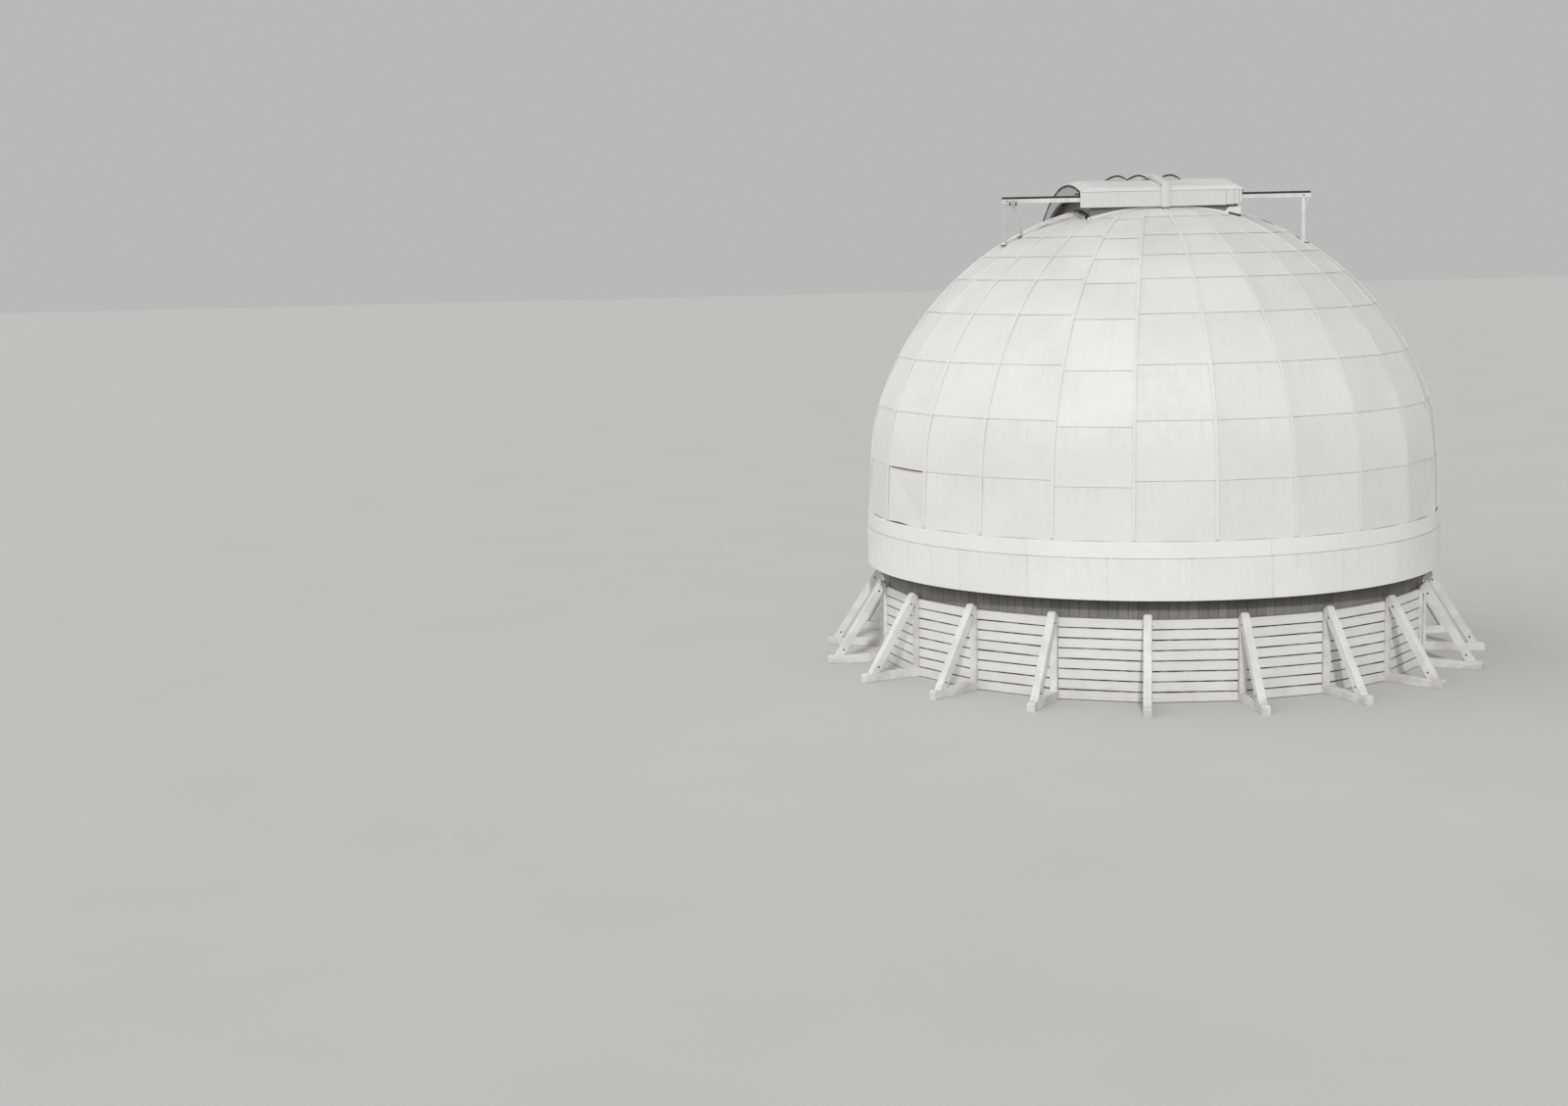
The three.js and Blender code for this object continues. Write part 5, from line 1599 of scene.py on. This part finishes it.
def build_joint_strap():
    """The capping over the joint of the halves, fixed to the right one: a trough section carried up the
    front, round a mitred corner and along the arc, then down to the foot."""
    s = sizes("shutter_sizes")
    parts = Parts(23)
    half, rise = s.strap_width / 2, s.strap_height
    centre_height = sizes("dome_sizes").centre_height
    radius, front = STRAP_HIGH.z - centre_height, STRAP_LOW.y
    start = math.asin(front / radius)
    away = away_from_centre(np.append(np.linspace(start, math.pi / 2, 90), math.pi / 2))
    arc = away * radius + UP * centre_height
    arc[-1, 2] = ROOF_LOW.z
    leg = points(0.0, front, [STRAP_FOOT, arc[0, 2] - 0.03])
    mitre = unit(away[0] + FRONT) / math.cos((math.pi / 2 + start) / 2)
    face = np.concatenate([[FRONT / 2, FRONT / 2, mitre * 0.75], away[1:]])
    air = rise - 0.006
    section = np.array([(half, -air), (half, -0.016), (half - 0.014, 0.0), (-half + 0.014, 0.0),
                        (-half, -0.016), (-half, -rise + SEAT), (-0.0015, -rise + SEAT), (-0.0015, -air)])
    parts.carried(np.concatenate([leg, arc]), -RIGHT, face, section, plain=True, edge=0.05)
    parts.make("joint_strap_sheet", "right_shutter", "sheet", ["aged_sheet"], ("joint_strap",))


def build_flashing(side):
    """A tarred strip that has come loose along the roof's near edge. It bows up from the roof in waves, its
    rise times a power of a sine, and its near edge is rolled down."""
    parts = Parts(24 + side)
    name = SIDE_NAMES[side]
    low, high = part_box(f"flashing_{name}")
    radius, tilt, waves = roof_radius(), math.radians(FLASHING_TILT), FLASHING_WAVES[side]
    share = np.linspace(0, 1, 20 * waves + 1)
    swell = np.abs(np.sin(np.pi * waves * share)) ** 0.8
    normal = points(0.0, -math.sin(tilt), math.cos(tilt))
    back = points(0.0, math.cos(tilt), math.sin(tilt))
    start = (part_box("flashing_left")[0].y + radius * math.sin(tilt)) / math.cos(tilt)
    rows = np.array([0.0, 0.002, 0.008, 0.020, 0.05, 0.108])[:, None]
    rolled = np.array([0.028, 0.016, 0.006, 0.0, 0.0, 0.0])[:, None]
    lift = radius * math.cos(tilt) + 0.001 + FLASHING_RISE * swell * (1 - 1.2 * rows)
    lift = lift - rolled * np.minimum(1, 1.6 * swell)
    middle = points(low.x + (high.x - low.x) * share, 0.0, sizes("dome_sizes").centre_height)
    lower = middle + normal * lift[..., None] + back * (start + rows)[..., None]
    parts.plate(lower + normal * 0.0025 - back * 0.0015, lower)
    make_half(parts, side, "loose_flashing", "flashing", ["tar_sheet"], "flashing_{}")


# Plain solids of the frame that stay

KEPT_FINISHES = {
    **{f"wall_{wall}": "wall_lining" for wall in WALLS},
    # The dark wood is painted shade: on the arches and the slit's head it stands in for the shade under the
    # shutter, and on the ring beam it is partly the shade under the skirt.
    **dict.fromkeys(("ring_beam", "arch_left", "arch_right", "slit_head"), "dark_beam"),
    **dict.fromkeys(("base_ring", "upstand"), "tarred_timber"),
    "roller_ring": "dark_steel",
    "slit_sill": "curb_paint",
}


def finish_frame():
    """Gives each solid of the frame that stays in sight its own finish."""
    for node, finish in KEPT_FINISHES.items():
        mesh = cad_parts[node].data
        mesh.materials.clear()
        mesh.materials.append(material(finish))


# Operators

class OBSERVATORY_OT_stage(bpy.types.Operator):
    """Adds the floor, the light, the sky and the camera"""
    bl_idname = "observatory.stage"
    bl_label = "Stage"
    bl_options = {"REGISTER", "UNDO"}

    def execute(self, context):
        build_stage()
        return {"FINISHED"}


class OBSERVATORY_OT_frame_finishes(bpy.types.Operator):
    """Gives the frame's own solids their finishes"""
    bl_idname = "observatory.frame_finishes"
    bl_label = "Frame Finishes"
    bl_options = {"REGISTER", "UNDO"}

    def execute(self, context):
        finish_frame()
        return {"FINISHED"}


class OBSERVATORY_OT_wall_boards(bpy.types.Operator):
    """Adds the lapped boards of the drum"""
    bl_idname = "observatory.wall_boards"
    bl_label = "Wall Boards"
    bl_options = {"REGISTER", "UNDO"}

    def execute(self, context):
        for index in range(len(WALLS)):
            build_wall_boards(index)
        return {"FINISHED"}


class OBSERVATORY_OT_buttresses(bpy.types.Operator):
    """Adds the posts, braces and sills round the drum"""
    bl_idname = "observatory.buttresses"
    bl_label = "Buttresses"
    bl_options = {"REGISTER", "UNDO"}

    def execute(self, context):
        for index in range(sizes("drum_sizes").bays):
            build_buttress(index)
        return {"FINISHED"}


class OBSERVATORY_OT_recess_boards(bpy.types.Operator):
    """Adds the upright boards under the skirt"""
    bl_idname = "observatory.recess_boards"
    bl_label = "Recess Boards"
    bl_options = {"REGISTER", "UNDO"}

    def execute(self, context):
        build_recess_boards()
        return {"FINISHED"}


class OBSERVATORY_OT_skirt(bpy.types.Operator):
    """Adds the lapped sheets of the skirt"""
    bl_idname = "observatory.skirt"
    bl_label = "Skirt"
    bl_options = {"REGISTER", "UNDO"}

    def execute(self, context):
        build_skirt()
        return {"FINISHED"}


class OBSERVATORY_OT_band(bpy.types.Operator):
    """Adds the boards of the band over the skirt"""
    bl_idname = "observatory.band"
    bl_label = "Band"
    bl_options = {"REGISTER", "UNDO"}

    def execute(self, context):
        build_band()
        return {"FINISHED"}


class OBSERVATORY_OT_shell(bpy.types.Operator):
    """Adds the sheets, battens, ribs and purlins of the shell"""
    bl_idname = "observatory.shell"
    bl_label = "Shell"
    bl_options = {"REGISTER", "UNDO"}

    def execute(self, context):
        for index in range(len(PANELS)):
            build_shell(index)
        return {"FINISHED"}


class OBSERVATORY_OT_slit_trim(bpy.types.Operator):
    """Adds the angle strips round the slit"""
    bl_idname = "observatory.slit_trim"
    bl_label = "Slit Trim"
    bl_options = {"REGISTER", "UNDO"}

    def execute(self, context):
        build_slit_trim()
        return {"FINISHED"}


class OBSERVATORY_OT_rails(bpy.types.Operator):
    """Adds the two rails and the timbers that carry them"""
    bl_idname = "observatory.rails"
    bl_label = "Rails"
    bl_options = {"REGISTER", "UNDO"}

    def execute(self, context):
        for end in RAILS:
            build_rail(end)
        build_near_beam()
        build_far_beam()
        return {"FINISHED"}


class OBSERVATORY_OT_shutter(bpy.types.Operator):
    """Adds the roofs, sides, fascias and trucks of both shutter halves"""
    bl_idname = "observatory.shutter"
    bl_label = "Shutter Halves"
    bl_options = {"REGISTER", "UNDO"}

    def execute(self, context):
        for side in SIDE_NAMES:
            build_roof(side)
            build_cheek(side)
            build_fascia(side)
            for end in RAILS:
                build_truck(side, end)
        return {"FINISHED"}


class OBSERVATORY_OT_joint_strap(bpy.types.Operator):
    """Adds the capping over the joint of the shutter halves"""
    bl_idname = "observatory.joint_strap"
    bl_label = "Joint Strap"
    bl_options = {"REGISTER", "UNDO"}

    def execute(self, context):
        build_joint_strap()
        return {"FINISHED"}


class OBSERVATORY_OT_flashing(bpy.types.Operator):
    """Adds the loose strips at the roof's near edge"""
    bl_idname = "observatory.flashing"
    bl_label = "Loose Flashing"
    bl_options = {"REGISTER", "UNDO"}

    def execute(self, context):
        for side in SIDE_NAMES:
            build_flashing(side)
        return {"FINISHED"}


OPERATORS = (OBSERVATORY_OT_stage, OBSERVATORY_OT_frame_finishes, OBSERVATORY_OT_wall_boards,
             OBSERVATORY_OT_buttresses, OBSERVATORY_OT_recess_boards, OBSERVATORY_OT_skirt,
             OBSERVATORY_OT_band, OBSERVATORY_OT_shell, OBSERVATORY_OT_slit_trim, OBSERVATORY_OT_rails,
             OBSERVATORY_OT_shutter, OBSERVATORY_OT_joint_strap, OBSERVATORY_OT_flashing)


class OBSERVATORY_PT_dome(bpy.types.Panel):
    """Lists the operators of the dome and the sizes that they use"""
    bl_idname = "OBSERVATORY_PT_dome"
    bl_label = "Observatory Dome"
    bl_space_type = "VIEW_3D"
    bl_region_type = "UI"
    bl_category = "Dome"

    def draw(self, context):
        for operator in OPERATORS:
            self.layout.operator(operator.bl_idname)
        for group in GROUPS:
            box = self.layout.box()
            settings = getattr(context.scene, group)
            for key in settings.bl_rna.properties.keys():
                if key not in ("rna_type", "name"):
                    box.prop(settings, key)


CLASSES = (*GROUPS.values(), *OPERATORS, OBSERVATORY_PT_dome)


def register():
    for cls in CLASSES:
        bpy.utils.register_class(cls)
    for name, group in GROUPS.items():
        setattr(bpy.types.Scene, name, bpy.props.PointerProperty(type=group))


def unregister():
    for name in GROUPS:
        delattr(bpy.types.Scene, name)
    for cls in reversed(CLASSES):
        bpy.utils.unregister_class(cls)


def main():
    register()
    for operator in OPERATORS:
        category, name = operator.bl_idname.split(".")
        getattr(getattr(bpy.ops, category), name)()


if __name__ == "__main__":
    main()
